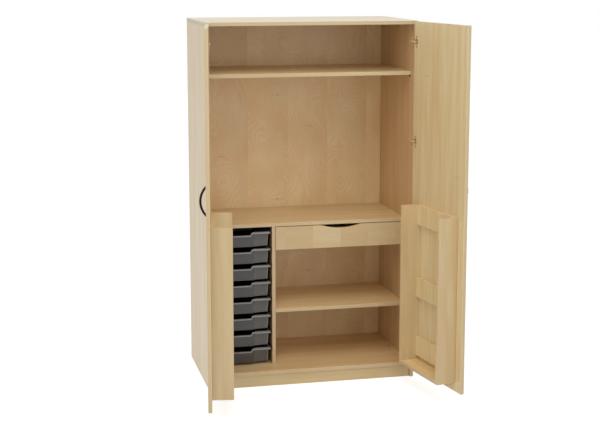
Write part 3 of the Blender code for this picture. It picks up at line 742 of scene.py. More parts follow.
class Shape:
    """A bmesh under construction, with the few forms that the small pieces share."""

    def __init__(self) -> None:
        """Starts with nothing."""
        self.bm = bmesh.new()

    def everything(self) -> list:
        """All that is there, as operators take it."""
        return [*self.bm.verts, *self.bm.edges, *self.bm.faces]

    def move(self, matrix: Matrix) -> None:
        """Moves all that is there."""
        bmesh.ops.transform(self.bm, matrix=matrix, verts=self.bm.verts)

    def bevel(
        self, edges: Sequence[BMEdge], width: float, segments: int, clamp: bool = False
    ) -> None:
        """Rounds some edges.

        Args:
            edges: the edges.
            width: the rounding's width.
            segments: the steps across it.
            clamp: whether it stays clear of the next edges.
        """
        bmesh.ops.bevel(
            self.bm,
            geom=edges,
            offset=width,
            segments=segments,
            profile=0.5,
            affect="EDGES",
            material=-1,
            clamp_overlap=clamp,
        )

    def soften(self, verts: Sequence[BMVert], width: float, segments: int = 2) -> None:
        """Rounds every edge between some vertices.

        Args:
            verts: the vertices of one form.
            width: the rounding's width, or 0 for none.
            segments: the steps across it.
        """
        if width > 0.0:
            inside = set(verts)
            edges = {edge for vert in verts for edge in vert.link_edges}
            edges = [edge for edge in edges if inside.issuperset(edge.verts)]
            self.bevel(edges, width, segments)

    def spin(self, geom: list, axis: Triple, angle: float, steps: int) -> None:
        """Turns a section about an axis through the origin, and merges a full turn's ends.

        Args:
            geom: the section.
            axis: the axis.
            angle: the angle of the turn.
            steps: its steps.
        """
        bmesh.ops.spin(
            self.bm,
            geom=geom,
            cent=(0.0, 0.0, 0.0),
            axis=axis,
            dvec=(0.0, 0.0, 0.0),
            angle=angle,
            steps=steps,
            use_merge=angle >= FULL_TURN,
            use_duplicate=False,
        )

    def box(self, first: Triple, second: Triple, width: float = 0.0, segments: int = 2) -> None:
        """Adds a box with rounded edges.

        Args:
            first: one of its corners.
            second: the opposite corner.
            width: the width of the rounding, or 0 for none.
            segments: the steps across the rounding.
        """
        size = [abs(b - a) for a, b in zip(first, second)]
        middle = (Vector(first) + Vector(second)) / 2
        place = Matrix.Translation(middle) @ Matrix.Diagonal((*size, 1.0))
        verts = bmesh.ops.create_cube(self.bm, size=1.0, matrix=place)["verts"]
        self.soften(verts, width, segments)

    def rod(
        self, place: Matrix, radius: float, length: float, sides: int, width: float = 0.0
    ) -> None:
        """Adds a round rod that stands on the place's origin and rises along its Z axis.

        Args:
            place: the rod's frame.
            radius: its radius.
            length: its length.
            sides: the steps round it.
            width: the rounding of its ends, or 0 for none.
        """
        verts = bmesh.ops.create_cone(
            self.bm,
            cap_ends=True,
            segments=sides,
            radius1=radius,
            radius2=radius,
            depth=length,
            matrix=place @ Matrix.Translation((0.0, 0.0, length / 2)),
        )["verts"]
        self.soften(verts, width)

    def turned(
        self, profile: Pairs, place: Matrix, steps: int, gap: float = 0.0, material: int = 0
    ) -> None:
        """Adds a turned form from a profile of (radius, height) points.

        Args:
            profile: its half section, or its whole section where the turn has a gap.
            place: the form's frame, turned about its Z axis, the gap on its X axis.
            steps: the steps of the turn.
            gap: the angle that the turn leaves out, or 0 for none.
            material: its material number.
        """
        old_verts, old_faces = set(self.bm.verts), set(self.bm.faces)
        verts = [self.bm.verts.new((radius, 0.0, height)) for radius, height in profile]
        if gap > 0.0:
            section = self.bm.faces.new(verts)
            geom = [*verts, *section.edges, section]
        else:
            geom = verts + [self.bm.edges.new(pair) for pair in zip(verts, verts[1:])]
        self.spin(geom, Z_WAY, FULL_TURN - gap, steps)
        grown = [vert for vert in self.bm.verts if vert not in old_verts]
        start = Matrix.Rotation(gap / 2, 4, "Z")
        bmesh.ops.transform(self.bm, matrix=place @ start, verts=grown)
        for face in self.bm.faces:
            if face not in old_faces:
                face.material_index = material

    def button(
        self, form: Button, place: Matrix, radius: float, height: float, material: int = 0
    ) -> None:
        """Adds a small turned form that stands on the place.

        Args:
            form: what it is.
            place: its frame, the Z axis pointing out.
            radius: its radius.
            height: how far it stands out.
            material: its material number.
        """
        profile = [(radius * across, height * up) for across, up in form.profile]
        self.turned(profile, place, form.steps, material=material)

    def prism(self, outline: Sequence[Triple], way: Triple) -> List[BMVert]:
        """Adds a prism.

        Args:
            outline: the corners of one end.
            way: the way to the other end.

        Returns:
            Its vertices.
        """
        verts = [self.bm.verts.new(corner) for corner in outline]
        section = self.bm.faces.new(verts)
        grown = bmesh.ops.extrude_face_region(self.bm, geom=[section])["geom"]
        far = only(grown, BMVert)
        bmesh.ops.translate(self.bm, verts=far, vec=way)
        return verts + far

    def mesh(self, name: str, merged: bool = True) -> bpy.types.Mesh:
        """Ends the construction.

        Args:
            name: the mesh's name.
            merged: whether vertices in one place become one.

        Returns:
            The mesh, its faces pointing outwards.
        """
        if merged:
            bmesh.ops.remove_doubles(self.bm, verts=self.bm.verts, dist=MERGE)
        bmesh.ops.recalc_face_normals(self.bm, faces=self.bm.faces)
        mesh = bpy.data.meshes.new(name)
        self.bm.to_mesh(mesh)
        self.bm.free()
        return mesh


def add_object(name: str, data: bpy.types.ID) -> bpy.types.Object:
    """Adds an object to the scene.

    Args:
        name: its name.
        data: its mesh, light or camera.

    Returns:
        The new object.
    """
    made = bpy.data.objects.new(name, data)
    bpy.context.scene.collection.objects.link(made)
    return made


def add_piece(
    mesh: bpy.types.Mesh, finishes: Sequence[Plastic], body: str, slot: str, *replaced: str
) -> bpy.types.Object:
    """Adds a finished piece of its mesh's name and lets it ride on its body.

    Args:
        mesh: the mesh, in the frame's coordinates.
        finishes: its finishes, by material number.
        body: the body of the frame that it moves with.
        slot: the record's material slot; not used.
        *replaced: the CAD nodes that it stands for.

    Returns:
        The new object.
    """
    mesh.shade_smooth()
    mesh.set_sharp_from_angle(angle=SHARP_ANGLE)
    for finish in finishes:
        mesh.materials.append(finish.material())
    piece = add_object(mesh.name, mesh)
    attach(piece, body)
    if replaced:
        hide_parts(*replaced)
    LOG.info("%s rides on %s", mesh.name, body)
    return piece


@dataclass
class Carcass:
    """The fixed boards, their cam fittings, shelf pins and back screws."""

    maple: Maple
    finishes: Finishes
    body: str = "carcass"
    # The boards' tints, and the back panel's, are painted light and shade: faces and lipping
    # lightened or darkened for how light falls on them.
    boards: Boards = (
        ("top_panel", LEVEL, Tone((0.92, 1.03, 1.28), edge=(0.85, 0.83, 0.85))),
        ("floor_panel", LEVEL, Tone((1.08, 1.00, 0.97))),
        ("mid_shelf", LEVEL, Tone((0.96, 0.93, 0.93))),
        ("upper_shelf", LEVEL, Tone(edge=(0.88, 0.89, 0.89))),
        ("lower_shelf", LEVEL, Tone((1.16, 1.11, 1.08))),
        ("side_panel_left", UPRIGHT, Tone(INNER_SIDE_PAINTED_SHADE, OUTER_SIDE_PAINTED_LIGHT)),
        ("side_panel_right", UPRIGHT, Tone(OUTER_SIDE_PAINTED_LIGHT, INNER_SIDE_PAINTED_SHADE)),
        ("divider_panel", UPRIGHT, even(INNER_SIDE_PAINTED_SHADE)),
        ("plinth_front", ACROSS, Tone((0.91, 0.96, 1.06))),
        ("plinth_rear", ACROSS, Tone()),
    )
    back_tone: Tone = even((1.05, 1.03, 1.10))
    seed: float = 1.0
    knots: Pairs = (
        (-0.056, 1.396),
        (-0.059, 0.843),
        (0.121, 1.229),
        (-0.358, 1.078),
        (-0.302, 1.752),
        (0.108, 0.447),
    )
    # Cam caps and screws, whose size is a radius and how far they stand out
    cam_size: Tuple[float, float] = (0.0075, 0.0008)
    cam_depths: Tuple[float, ...] = (0.0306, 0.2804, 0.5300)
    cam_below_top: float = 0.0425
    left_floor_cams: Tuple[float, ...] = (0.044, 0.546)
    right_floor_cams: Tuple[float, ...] = (0.044, 0.294, 0.546)
    floor_cam_inset: float = 0.022
    screw_size: Tuple[float, float] = (0.0036, 0.0014)
    screws_across: Tuple[float, ...] = (0.06, 0.28, 0.50, 0.72, 0.94)
    screws_up: Tuple[float, ...] = (0.25, 0.5, 0.75)
    lift: float = 0.0001
    # Shelf pins
    pin_hole_radius: float = 0.0025
    pin_sides: int = 12
    pin_front_inset: float = 0.020
    pin_back_inset: float = 0.040
    pin_reach: float = 0.0090
    pin_drop: float = 0.0095
    pin_width: float = 0.0090
    pin_foot: float = 0.0022
    pin_round: float = 0.0006

    def build(self) -> None:
        """Dresses the boards and adds the small fittings."""
        self.maple.dress_all(self.boards, self.seed)
        back_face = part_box("back_panel")[0].y
        spots = [(x, back_face, z) for x, z in self.knots]
        leaves = replace(SHEET, figure=Figure.LEAVES)
        back_seed = self.seed + len(self.boards)
        self.maple.dress("back_panel", leaves, back_seed, self.back_tone, spots)
        self.build_cams()
        self.build_shelf_pins()
        self.build_back_screws()

    def walls(self, left: str) -> Tuple[Tuple[Side, float], ...]:
        """The sides of the bay to the right of a board, each with the X of its inner face."""
        return (Side.LEFT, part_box(left)[1].x), (Side.RIGHT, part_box("side_panel_right")[0].x)

    def build_cams(self) -> None:
        """The caps of the cam fittings on the side panels and the floor panel."""
        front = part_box("side_panel_left")[0].y
        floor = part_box("floor_panel")[1].z + self.lift
        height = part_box("top_panel")[1].z - self.cam_below_top
        floor_depths = (self.left_floor_cams, self.right_floor_cams)
        shape = Shape()
        for (side, wall), depths in zip(self.walls("side_panel_left"), floor_depths):
            for depth in self.cam_depths:
                spot = (wall - side * self.lift, front + depth, height)
                shape.button(CAM_CAP, facing(spot, (-side, 0.0, 0.0)), *self.cam_size)
            for depth in depths:
                spot = (wall - side * self.floor_cam_inset, front + depth, floor)
                shape.button(CAM_CAP, facing(spot, Z_WAY), *self.cam_size)
        add_piece(shape.mesh("cam_caps"), [self.finishes.cam], self.body, "runner_plastic")

    def shelf_pin(self, shape: Shape, side: Side, wall: float, y: float, top: float) -> None:
        """Adds one shelf pin: a peg in its hole and a gusset bracket under the shelf.

        Args:
            shape: the shape that takes it.
            side: the side of the bay.
            wall: the X of the board face that holds the pin.
            y: the pin's depth in the cupboard.
            top: the shelf's underside.
        """
        start = (wall + side * (self.pin_reach - self.lift), y, top - self.pin_hole_radius)
        peg_radius = self.pin_hole_radius - 2.0 * self.lift
        peg = facing(start, (-side, 0.0, 0.0))
        shape.rod(peg, peg_radius, self.pin_reach + self.lift, self.pin_sides)
        inner = wall - side * 2.0 * self.lift
        outer = inner - side * self.pin_reach
        half = self.pin_width / 2
        known = set(shape.bm.verts)
        low = (inner, y - half, top - self.pin_drop)
        shape.box(low, (outer, y + half, top - self.lift), self.pin_round, segments=1)
        for vert in set(shape.bm.verts) - known:
            near_outer = abs(vert.co.x - outer) < self.pin_reach / 2
            if near_outer and vert.co.z < top - self.pin_drop / 2:
                vert.co.x += side * (self.pin_reach - self.pin_foot)

    def build_shelf_pins(self) -> None:
        """Four pins under each adjustable shelf."""
        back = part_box("back_panel")[0].y - self.pin_back_inset
        for shelf, left in (("upper_shelf", "side_panel_left"), ("lower_shelf", "divider_panel")):
            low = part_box(shelf)[0]
            shape = Shape()
            for side, wall in self.walls(left):
                for y in (low.y + self.pin_front_inset, back):
                    self.shelf_pin(shape, side, wall, y, low.z)
            mesh = shape.mesh(f"{shelf}_pins")
            add_piece(mesh, [self.finishes.pin], self.body, "runner_plastic")

    def build_back_screws(self) -> None:
        """Screws that fix the back panel to the mid shelf, the divider and the floor panel."""
        low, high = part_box("back_panel")
        bottom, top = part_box("floor_panel")[1].z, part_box("mid_shelf")[0].z
        divider = middle_of("divider_panel").x
        shape = Shape()
        spots = [(divider, bottom + (top - bottom) * share) for share in self.screws_up]
        for board in ("mid_shelf", "floor_panel"):
            z = middle_of(board).z
            spots += [(low.x + (high.x - low.x) * share, z) for share in self.screws_across]
        for x, z in spots:
            place = facing((x, high.y + self.lift, z), Y_WAY)
            shape.button(SCREW_HEAD, place, *self.screw_size)
        add_piece(shape.mesh("back_screws"), [self.finishes.slide], self.body, "slide_steel")


@dataclass
class Hinges:
    """One door's cup hinges: pressed cups with ears on the door and arms on the side panel."""

    finishes: Finishes
    count: int = 4
    lift: float = 0.0003
    # Cup and its rim
    cup_radius: float = 0.0172
    cup_wall: float = 0.0010
    cup_depth: float = 0.0128
    cup_edge: float = 0.0033
    notch_share: float = 1.0 / 3.0
    dish_steps: int = 40
    rim_height: float = 0.0011
    rim_round: float = 0.0003
    rim_steps: int = 38
    notch_play: float = 0.0004
    bend: float = 0.0020
    bend_inset: float = 0.0006
    # Ears, each with a screw of a radius and a height
    ear_along: Tuple[float, float] = (-0.0060, 0.0125)
    ear_heights: Tuple[float, float] = (0.0145, 0.0310)
    ear_thickness: float = 0.0010
    ear_round: float = 0.0004
    ear_screw_place: float = 0.0240
    ear_screw: Tuple[float, float] = (0.0034, 0.0010)
    # Pin, the knuckle on it and the cheeks that hold it
    pin_radius: float = 0.00125
    pin_sides: int = 14
    pin_round: float = 0.0002
    knuckle_radius: float = 0.0023
    knuckle_half: float = 0.0034
    knuckle_steps: int = 12
    cheek_play: float = 0.0005
    cheek_width: float = 0.0022
    cheek_start: float = 0.0015
    cheek_reach: float = 0.0032
    # Arm
    arm_strap: float = 0.0017
    arm_stand_off: float = 0.0060
    arm_height: float = 0.0080
    arm_start: float = 0.003
    arm_length: float = 0.058
    arm_half: float = 0.0062
    arm_round: float = 0.0011
    arm_screws: Pairs = ((0.0140, 0.0030), (0.0370, 0.0034), (0.0500, 0.0026))
    arm_screw_height: float = 0.0009
    # Plate on the side panel
    plate_inset: float = 0.037
    plate_half: Tuple[float, float] = (0.0080, 0.0240)
    plate_thickness: float = 0.0020
    plate_round: float = 0.0007
    plate_screw_place: float = 0.0160
    plate_screw: Tuple[float, float] = (0.0038, 0.0013)
    # Pivot in from the side panel's outer face and out from its edge, and the panel's thickness
    pivot_in: float = 0.0085
    pivot_out: float = 0.012
    board: float = 0.018

    def cup(self) -> Shape:
        """A cup in door coordinates: along from the hinge edge, inward and height.

        Returns:
            The cup.
        """
        shape = Shape()
        centre = self.cup_edge + self.cup_radius
        outer, inner = self.cup_radius, self.cup_radius - self.cup_wall
        rim = self.lift + self.rim_height
        floor = self.cup_wall - self.cup_depth
        notch = -self.cup_depth * self.notch_share
        place = facing((centre, 0.0, 0.0), Y_WAY)
        dish = [
            (0.0, floor),
            (inner - self.bend, floor),
            (inner - self.bend_inset, floor + self.bend_inset),
            (inner, floor + self.bend),
            (inner, notch),
            (outer, notch),
            (outer, -self.cup_depth),
            (0.0, -self.cup_depth),
        ]
        shape.turned(dish, place, self.dish_steps)
        wall = [
            (inner, notch),
            (inner, rim - self.rim_round),
            (inner + self.rim_round, rim),
            (outer - self.rim_round, rim),
            (outer, rim - self.rim_round),
            (outer, notch),
        ]
        gap = 2.0 * math.asin((self.knuckle_half + self.notch_play) / inner)
        to_edge = place.to_3x3().inverted() @ Vector((-1.0, 0.0, 0.0))
        turn = Matrix.Rotation(math.atan2(to_edge.y, to_edge.x), 4, "Z")
        shape.turned(wall, place @ turn, self.rim_steps, gap)
        ear_start, ear_end = (centre + along for along in self.ear_along)
        ear_near, ear_far = self.ear_heights
        ear_top = self.lift + self.ear_thickness
        near = self.knuckle_half + self.cheek_play
        far = near + self.cheek_width
        along, inward = PIVOT_FROM_DOOR_EDGE, -PIVOT_FROM_INNER_FACE
        for sign in (-1.0, 1.0):
            low = (ear_start, self.lift, sign * ear_near)
            shape.box(low, (ear_end, ear_top, sign * ear_far), self.ear_round, segments=1)
            spot = ((ear_start + ear_end) / 2, ear_top, sign * self.ear_screw_place)
            shape.button(SCREW_HEAD, facing(spot, Y_WAY), *self.ear_screw, material=1)
            low = (self.cup_edge + self.cheek_start, floor, sign * near)
            high = (along + self.cheek_reach, inward + self.cheek_reach, sign * far)
            shape.box(low, high, self.ear_round, segments=1)
        pin = facing((along, inward, -far), Z_WAY)
        shape.rod(pin, self.pin_radius, 2.0 * far, self.pin_sides, self.pin_round)
        return shape

    def arm(self) -> Shape:
        """An arm in side coordinates: in from the outer side, out in front and height.

        Returns:
            The arm with its plate.
        """
        shape = Shape()
        top = self.pivot_out + self.knuckle_radius
        low = top - self.arm_strap
        start = math.asin((low - self.pivot_out) / self.knuckle_radius)
        span = 0.75 * FULL_TURN + start
        angles = [start - span * i / self.knuckle_steps for i in range(self.knuckle_steps + 1)]
        outline = [
            (
                self.pivot_in + self.knuckle_radius * math.cos(angle),
                self.pivot_out + self.knuckle_radius * math.sin(angle),
            )
            for angle in angles
        ]
        outer = self.board + self.arm_stand_off
        inner = outer - self.arm_strap
        base = self.board + self.lift
        foot = base + self.plate_thickness
        outline += [
            (outer - self.bend, top),
            (outer - self.bend_inset, top - self.bend_inset),
            (outer, top - self.bend),
            (outer, -self.arm_start),
            (foot, -self.arm_start),
            (inner, 0.0),
            (inner, low),
        ]
        half = self.knuckle_half
        shape.prism([(x, y, -half) for x, y in outline], (0.0, 0.0, 2.0 * half))
        arm_top = self.board + self.arm_height
        far = (foot, -self.arm_length, -self.arm_half)
        shape.box(far, (arm_top, -self.arm_start, self.arm_half), self.arm_round)
        for back, radius in self.arm_screws:
            place = facing((arm_top, -back, 0.0), X_WAY)
            shape.button(SCREW_HEAD, place, radius, self.arm_screw_height)
        wide, tall = self.plate_half
        far = (base, -self.plate_inset - wide, -tall)
        shape.box(far, (foot, -self.plate_inset + wide, tall), self.plate_round)
        for sign in (-1.0, 1.0):
            place = facing((foot, -self.plate_inset, sign * self.plate_screw_place), X_WAY)
            shape.button(SCREW_HEAD, place, *self.plate_screw)
        return shape

    def build(self, side: Side, door: Matrix, front: float, outer: float) -> None:
        """Builds a door's hinges.

        Args:
            side: the door's side.
            door: the door's frame at rest.
            front: the Y of the side panel's front edge.
            outer: the X of the side panel's outer face.
        """
        panel = Matrix.Translation((outer, front, 0.0)) @ Matrix.Diagonal((-side, -1.0, 1.0, 1.0))
        enamel = [self.finishes.hinge, self.finishes.hinge_screw]
        parts = (
            ("cup", self.cup, door, f"{side.label}_door_leaf"),
            ("arm", self.arm, panel, "carcass"),
        )
        for number in range(1, self.count + 1):
            for kind, make, place, body in parts:
                height = middle_of(f"{side.label}_hinge_arm_{number}").z
                shape = make()
                shape.move(place @ Matrix.Translation((0.0, 0.0, height)))
                mesh = shape.mesh(f"{side.label}_{kind}_{number}")
                node = f"{side.label}_hinge_{kind}_{number}"
                add_piece(mesh, enamel, body, "hinge_steel", node)


@dataclass
class BowHandle:
    """A bow of oval bar between two screw centres."""

    finishes: Finishes
    screw_centres: float = 0.128
    projection: float = 0.0248
    half_thickness: float = 0.0052
    half_width: float = 0.0056
    edge_distance: float = 0.052
    height: float = 1.030
    sides: int = 24
    steps: int = 48
    seat: float = 0.0003

    def build(self, side: Side, door: Matrix, width: float, thickness: float) -> None:
        """Builds the handle on a door's outer face.

        Args:
            side: the door's side.
            door: the door's frame at rest.
            width: the door's width.
            thickness: the door's thickness.
        """
        half = self.screw_centres / 2
        radius = (half**2 + self.projection**2) / (2 * self.projection)
        reach = math.asin(half / radius) + 2.0 * self.half_thickness / radius
        shape = Shape()
        bmesh.ops.create_circle(shape.bm, cap_ends=True, segments=self.sides, radius=1.0)
        oval = Matrix.Diagonal((self.half_width, self.half_thickness, 1.0, 1.0))
        shape.move(Matrix.Rotation(-reach, 4, "X") @ Matrix.Translation((0.0, -radius, 0.0)) @ oval)
        shape.spin(shape.everything(), X_WAY, 2.0 * reach, self.steps)
        bmesh.ops.remove_doubles(shape.bm, verts=shape.bm.verts, dist=MERGE)
        along = width - self.edge_distance
        out = radius - self.projection - thickness
        shape.move(Matrix.Translation((along, out, self.height)))
        cut = bmesh.ops.bisect_plane(
            shape.bm,
            geom=shape.everything(),
            plane_co=(along, -thickness - self.seat, self.height),
            plane_no=Y_WAY,
            clear_outer=True,
        )
        bmesh.ops.holes_fill(shape.bm, edges=only(cut["geom_cut"], BMEdge), sides=0)
        shape.move(door)
        mesh = shape.mesh(f"{side.label}_bow_handle")
        body, node = f"{side.label}_door_leaf", f"{side.label}_door_handle"
        add_piece(mesh, [self.finishes.handle], body, "black_handle", node)


@dataclass
class RackDoor:
    """One door with its rack, hinges and handle."""

    side: Side
    maple: Maple
    finishes: Finishes
    # The door's and the rack's tints are painted light and shade: faces lightened or darkened, and
    # the rack's edges lightened, for how light falls on them.
    door_tone: Tone = Tone((1.01, 1.06, 1.14), OUTER_SIDE_PAINTED_LIGHT, (0.90, 0.90, 0.88))
    rack: Boards = (
        ("hinge_side", UPRIGHT, even((0.90, 0.92, 0.97), RACK_EDGE_PAINTED_HIGHLIGHT)),
        ("free_side", UPRIGHT, even((0.78, 0.79, 0.84), RACK_EDGE_PAINTED_HIGHLIGHT)),
        ("bottom", LEVEL, Tone((1.18, 1.18, 1.14))),
        ("rail_top", SHEET, RAIL_PAINTED_LIGHT),
        ("rail_middle", SHEET, RAIL_PAINTED_LIGHT),
        ("rail_low", SHEET, RAIL_PAINTED_LIGHT),
    )
    seed: float = 41.0
    seed_step: float = 20.0
    specks: Pairs = ((0.445, 1.093), (0.135, 1.540), (0.350, 1.795))

    def place(self, turn: float) -> Matrix:
        """Maps (along from the hinge edge, inward from the inner face, height) to the frame.

        Args:
            turn: how far the door stands open.

        Returns:
            The door's frame at rest.
        """
        name = f"{self.side.label}_door_hinge"
        pivot = next(item["pos_m"] for item in frame["joints"] if item["name"] == name)
        origin = Matrix.Translation((pivot[0], pivot[1], 0.0))
        from_pivot = (self.side * PIVOT_FROM_DOOR_EDGE, PIVOT_FROM_INNER_FACE, 0.0)
        closed = Matrix.Translation(from_pivot) @ Matrix.Diagonal((-self.side, 1.0, 1.0, 1.0))
        return origin @ Matrix.Rotation(turn, 4, "Z") @ closed

    def build(self) -> None:
        """Dresses the boards and builds the hinges and the handle."""
        label = self.side.label
        turn = self.side * DOOR_OPEN
        seed = self.seed + self.side * self.seed_step
        door = self.place(turn)
        specks = [tuple(door @ Vector((along, 0.0, height))) for along, height in self.specks]
        node = f"{label}_door"
        self.maple.dress(node, replace(SHEET, turn=turn), seed, self.door_tone, specks)
        self.maple.dress_all(self.rack, seed + 1.0, f"{label}_rack_", turn)
        back = door.inverted()
        points = [back @ vertex.co for vertex in frame["nodes"][node].data.vertices]
        width = max(point.x for point in points)
        thickness = -min(point.y for point in points)
        low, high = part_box(f"side_panel_{label}")
        outer = high.x if self.side is Side.RIGHT else low.x
        Hinges(self.finishes).build(self.side, door, low.y, outer)
        BowHandle(self.finishes).build(self.side, door, width, thickness)


class TrayPart(IntEnum):
    """The parts of a tray by material number: the body in its own grey, the rim in a paler grey as a
    painted highlight, the front beside the block in a lighter grey as painted light, and the block's
    edges and the body's front corners in taupe as a painted reflection of the wood.
    """

    BODY = 0
    RIM = 1
    SIDE = 2
    EDGE = 3
    CORNER = 4


@dataclass
class Trays:
    """The moulded trays and their runners."""

    finishes: Finishes
    count: int = 8
    # Body, flange and lip
    wall: float = 0.0025
    lip: float = 0.007
    flange: float = 0.0068
    taper: float = 0.005
    corner: float = 0.009
    corner_segments: int = 5
    extra_depth: float = 0.0035
    rim_corner: float = 0.008
    overhang: float = 0.004
    # Proud front block and the dip in the rim above it
    bulge: float = 0.015
    bulge_half: float = 0.0775
    bulge_slope: float = 0.004
    dip: float = 0.013
    dip_half: float = 0.0546
    dip_slope: float = 0.0075
    # Roundings and what counts as the front
    fillet: float = 0.0026
    fillet_segments: int = 4
    fillet_from: float = math.radians(38.0)
    front_facing: float = 0.2
    side_facing: float = 0.3
    rim_round: float = 0.0011
    rim_segments: int = 3
    rim_round_from: float = math.radians(40.0)
    # Runner rails
    rail_web: float = 0.0027
    rail_ledge: float = 0.0025
    rail_play: float = 0.0010
    rail_round: float = 0.0004

    def rim_place(self, spot: Vector, width: float, depth: float) -> Vector:
        """Where a point of the body's top edge meets the inner side of the rim's lip.

        Args:
            spot: the point, from the middle of the rim's front edge.
            width: the tray's width over its rim.
            depth: the tray's depth over its rim.

        Returns:
            The point on the lip's inner side.
        """
        near = spot.y < depth / 2
        inward = 1.0 if near else -1.0
        body_edge = self.overhang + self.bulge if near else depth - self.flange
        rim_edge = self.wall if near else depth - self.wall
        rim_side = width / 2 - self.wall
        radius = self.rim_corner - self.wall
        past_side = abs(spot.x) - (width / 2 - self.flange - self.corner)
        past_edge = spot.y - (body_edge + inward * self.corner)
        x, y = abs(spot.x), rim_edge
        if past_side > 0.0:
            x, y = rim_side, spot.y
            if inward * past_edge < 0.0:
                run = Vector((past_side, past_edge)).normalized()
                x = rim_side - radius + radius * run.x
                y = rim_edge + inward * radius + radius * run.y
        return Vector((math.copysign(x, spot.x), y, spot.z))

    def body_shell(self, width: float, depth: float, height: float) -> Shape:
        """The open outer skin of a tray's body, with its proud front block.

        Args:
            width: the tray's width over its rim.
            depth: its depth over its rim.
            height: its height.

        Returns:
            The skin, from the middle of the rim's front edge, with its material numbers.
        """
        shape = Shape()
        bm = shape.bm
        body = width / 2 - self.flange
        front = self.overhang + self.bulge
        shape.box((-body, front, -height), (body, depth - self.flange, -self.wall))
        top = [face for face in bm.faces if face.normal.z > 0.5]
        bmesh.ops.delete(bm, geom=top, context="FACES")
        upright = [edge for edge in bm.edges if edge.verts[0].co.xy == edge.verts[1].co.xy]
        shape.bevel(upright, self.corner, self.corner_segments)
        crest = self.bulge_half - self.bulge_slope
        steps = (self.bulge_half, crest, self.dip_half + self.dip_slope, self.dip_half)
        for x in [sign * step for step in steps for sign in (-1.0, 1.0)]:
            geom = shape.everything()
            bmesh.ops.bisect_plane(bm, geom=geom, plane_co=(x, 0.0, 0.0), plane_no=X_WAY)
        for vert in bm.verts:
            if vert.co.y < front + MERGE and abs(vert.co.x) < crest + MERGE:
                vert.co.y -= self.bulge
        for vert in [vert for vert in bm.verts if vert.co.z < -height + MERGE]:
            if abs(vert.co.x) > crest - MERGE:
                vert.co.x -= math.copysign(self.taper, vert.co.x)
            vert.co.y += self.taper if vert.co.y < depth / 2 else -self.taper
        inner = [edge for edge in bm.edges if len(edge.link_faces) == 2]
        sharp = [edge for edge in inner if edge.calc_face_angle() > self.fillet_from]
        shape.bevel(sharp, self.fillet, self.fillet_segments, clamp=True)
        # Painted light: front faces beside the block get a lighter grey, and faces turned towards a
        # front corner get taupe as a painted reflection of the wood.
        for face in bm.faces:
            spot, way = face.calc_center_median(), face.normal
            if spot.y > front + self.corner or way.y > -self.front_facing:
                continue
            if abs(way.x) > self.side_facing:
                outside = abs(spot.x) > crest + self.bulge_slope
                face.material_index = TrayPart.CORNER if outside else TrayPart.EDGE
            elif abs(spot.x) > crest:
                face.material_index = TrayPart.SIDE
        return shape

    def mesh(self, width: float, depth: float, height: float) -> bpy.types.Mesh:
        """A tray's skin with its flange and lip, from the middle of the rim's front edge.

        Args:
            width: the tray's width over its rim.
            depth: its depth over its rim.
            height: its height.

        Returns:
            The mesh, its faces pointing outwards.
        """
        shape = self.body_shell(width, depth, height)
        bm = shape.bm
        rim = [edge for edge in bm.edges if edge.is_boundary]
        flange = bmesh.ops.extrude_edge_only(bm, edges=rim)["geom"]
        for vert in only(flange, BMVert):
            vert.co = self.rim_place(vert.co, width, depth)
        outer = [edge for edge in only(flange, BMEdge) if edge.is_boundary]
        lip = bmesh.ops.extrude_edge_only(bm, edges=outer)["geom"]
        drop = (0.0, 0.0, self.wall - self.lip)
        bmesh.ops.translate(bm, verts=only(lip, BMVert), vec=drop)
        # The rim's paler grey is a painted highlight for the light that its rounded lip catches.
        for face in only(flange + lip, BMFace):
            face.material_index = TrayPart.RIM
        for vert in bm.verts:
            if vert.co.z > -self.lip - MERGE and vert.co.y < depth / 2:
                past = (self.dip_half + self.dip_slope - abs(vert.co.x)) / self.dip_slope
                vert.co.z -= self.dip * min(max(past, 0.0), 1.0)
        mesh = shape.mesh("tray_skin", merged=False)
        if min(mesh.polygons, key=lambda face: face.center.z).normal.z > 0.0:
            mesh.flip_normals()
        return mesh

    def build(self) -> None:
        """Builds the trays in place of the plain ones, and their runners."""
        low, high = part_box("tray_1")
        size = high - low
        skin = self.mesh(size.x, size.y, size.z + self.extra_depth)
        # The body's own grey, and the painted highlight, light and reflection of the rim, the sides,
        # the edges and the corners.
        looks = {
            TrayPart.BODY: self.finishes.tray,
            TrayPart.RIM: self.finishes.tray_rim,
            TrayPart.SIDE: self.finishes.tray_side,
            TrayPart.EDGE: self.finishes.tray_edge,
            TrayPart.CORNER: self.finishes.tray_corner,
        }
        for number in range(1, self.count + 1):
            node = f"tray_{number}"
            low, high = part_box(node)
            mesh = skin.copy()
            mesh.name = f"moulded_{node}"
            mesh.transform(Matrix.Translation(((low.x + high.x) / 2, low.y, high.z)))
            piece = add_piece(mesh, list(looks.values()), f"{node}_body", "tray_plastic", node)
            shell = piece.modifiers.new("wall", "SOLIDIFY")
            shell.thickness = self.wall
            shell.offset = -1.0
            shell.use_even_offset = True
            rounding = piece.modifiers.new("rounded_edges", "BEVEL")
            rounding.width = self.rim_round
            rounding.segments = self.rim_segments
            rounding.limit_method = "ANGLE"
            rounding.angle_limit = self.rim_round_from
        bpy.data.meshes.remove(skin)
        for side in Side:
            self.build_rails(side)

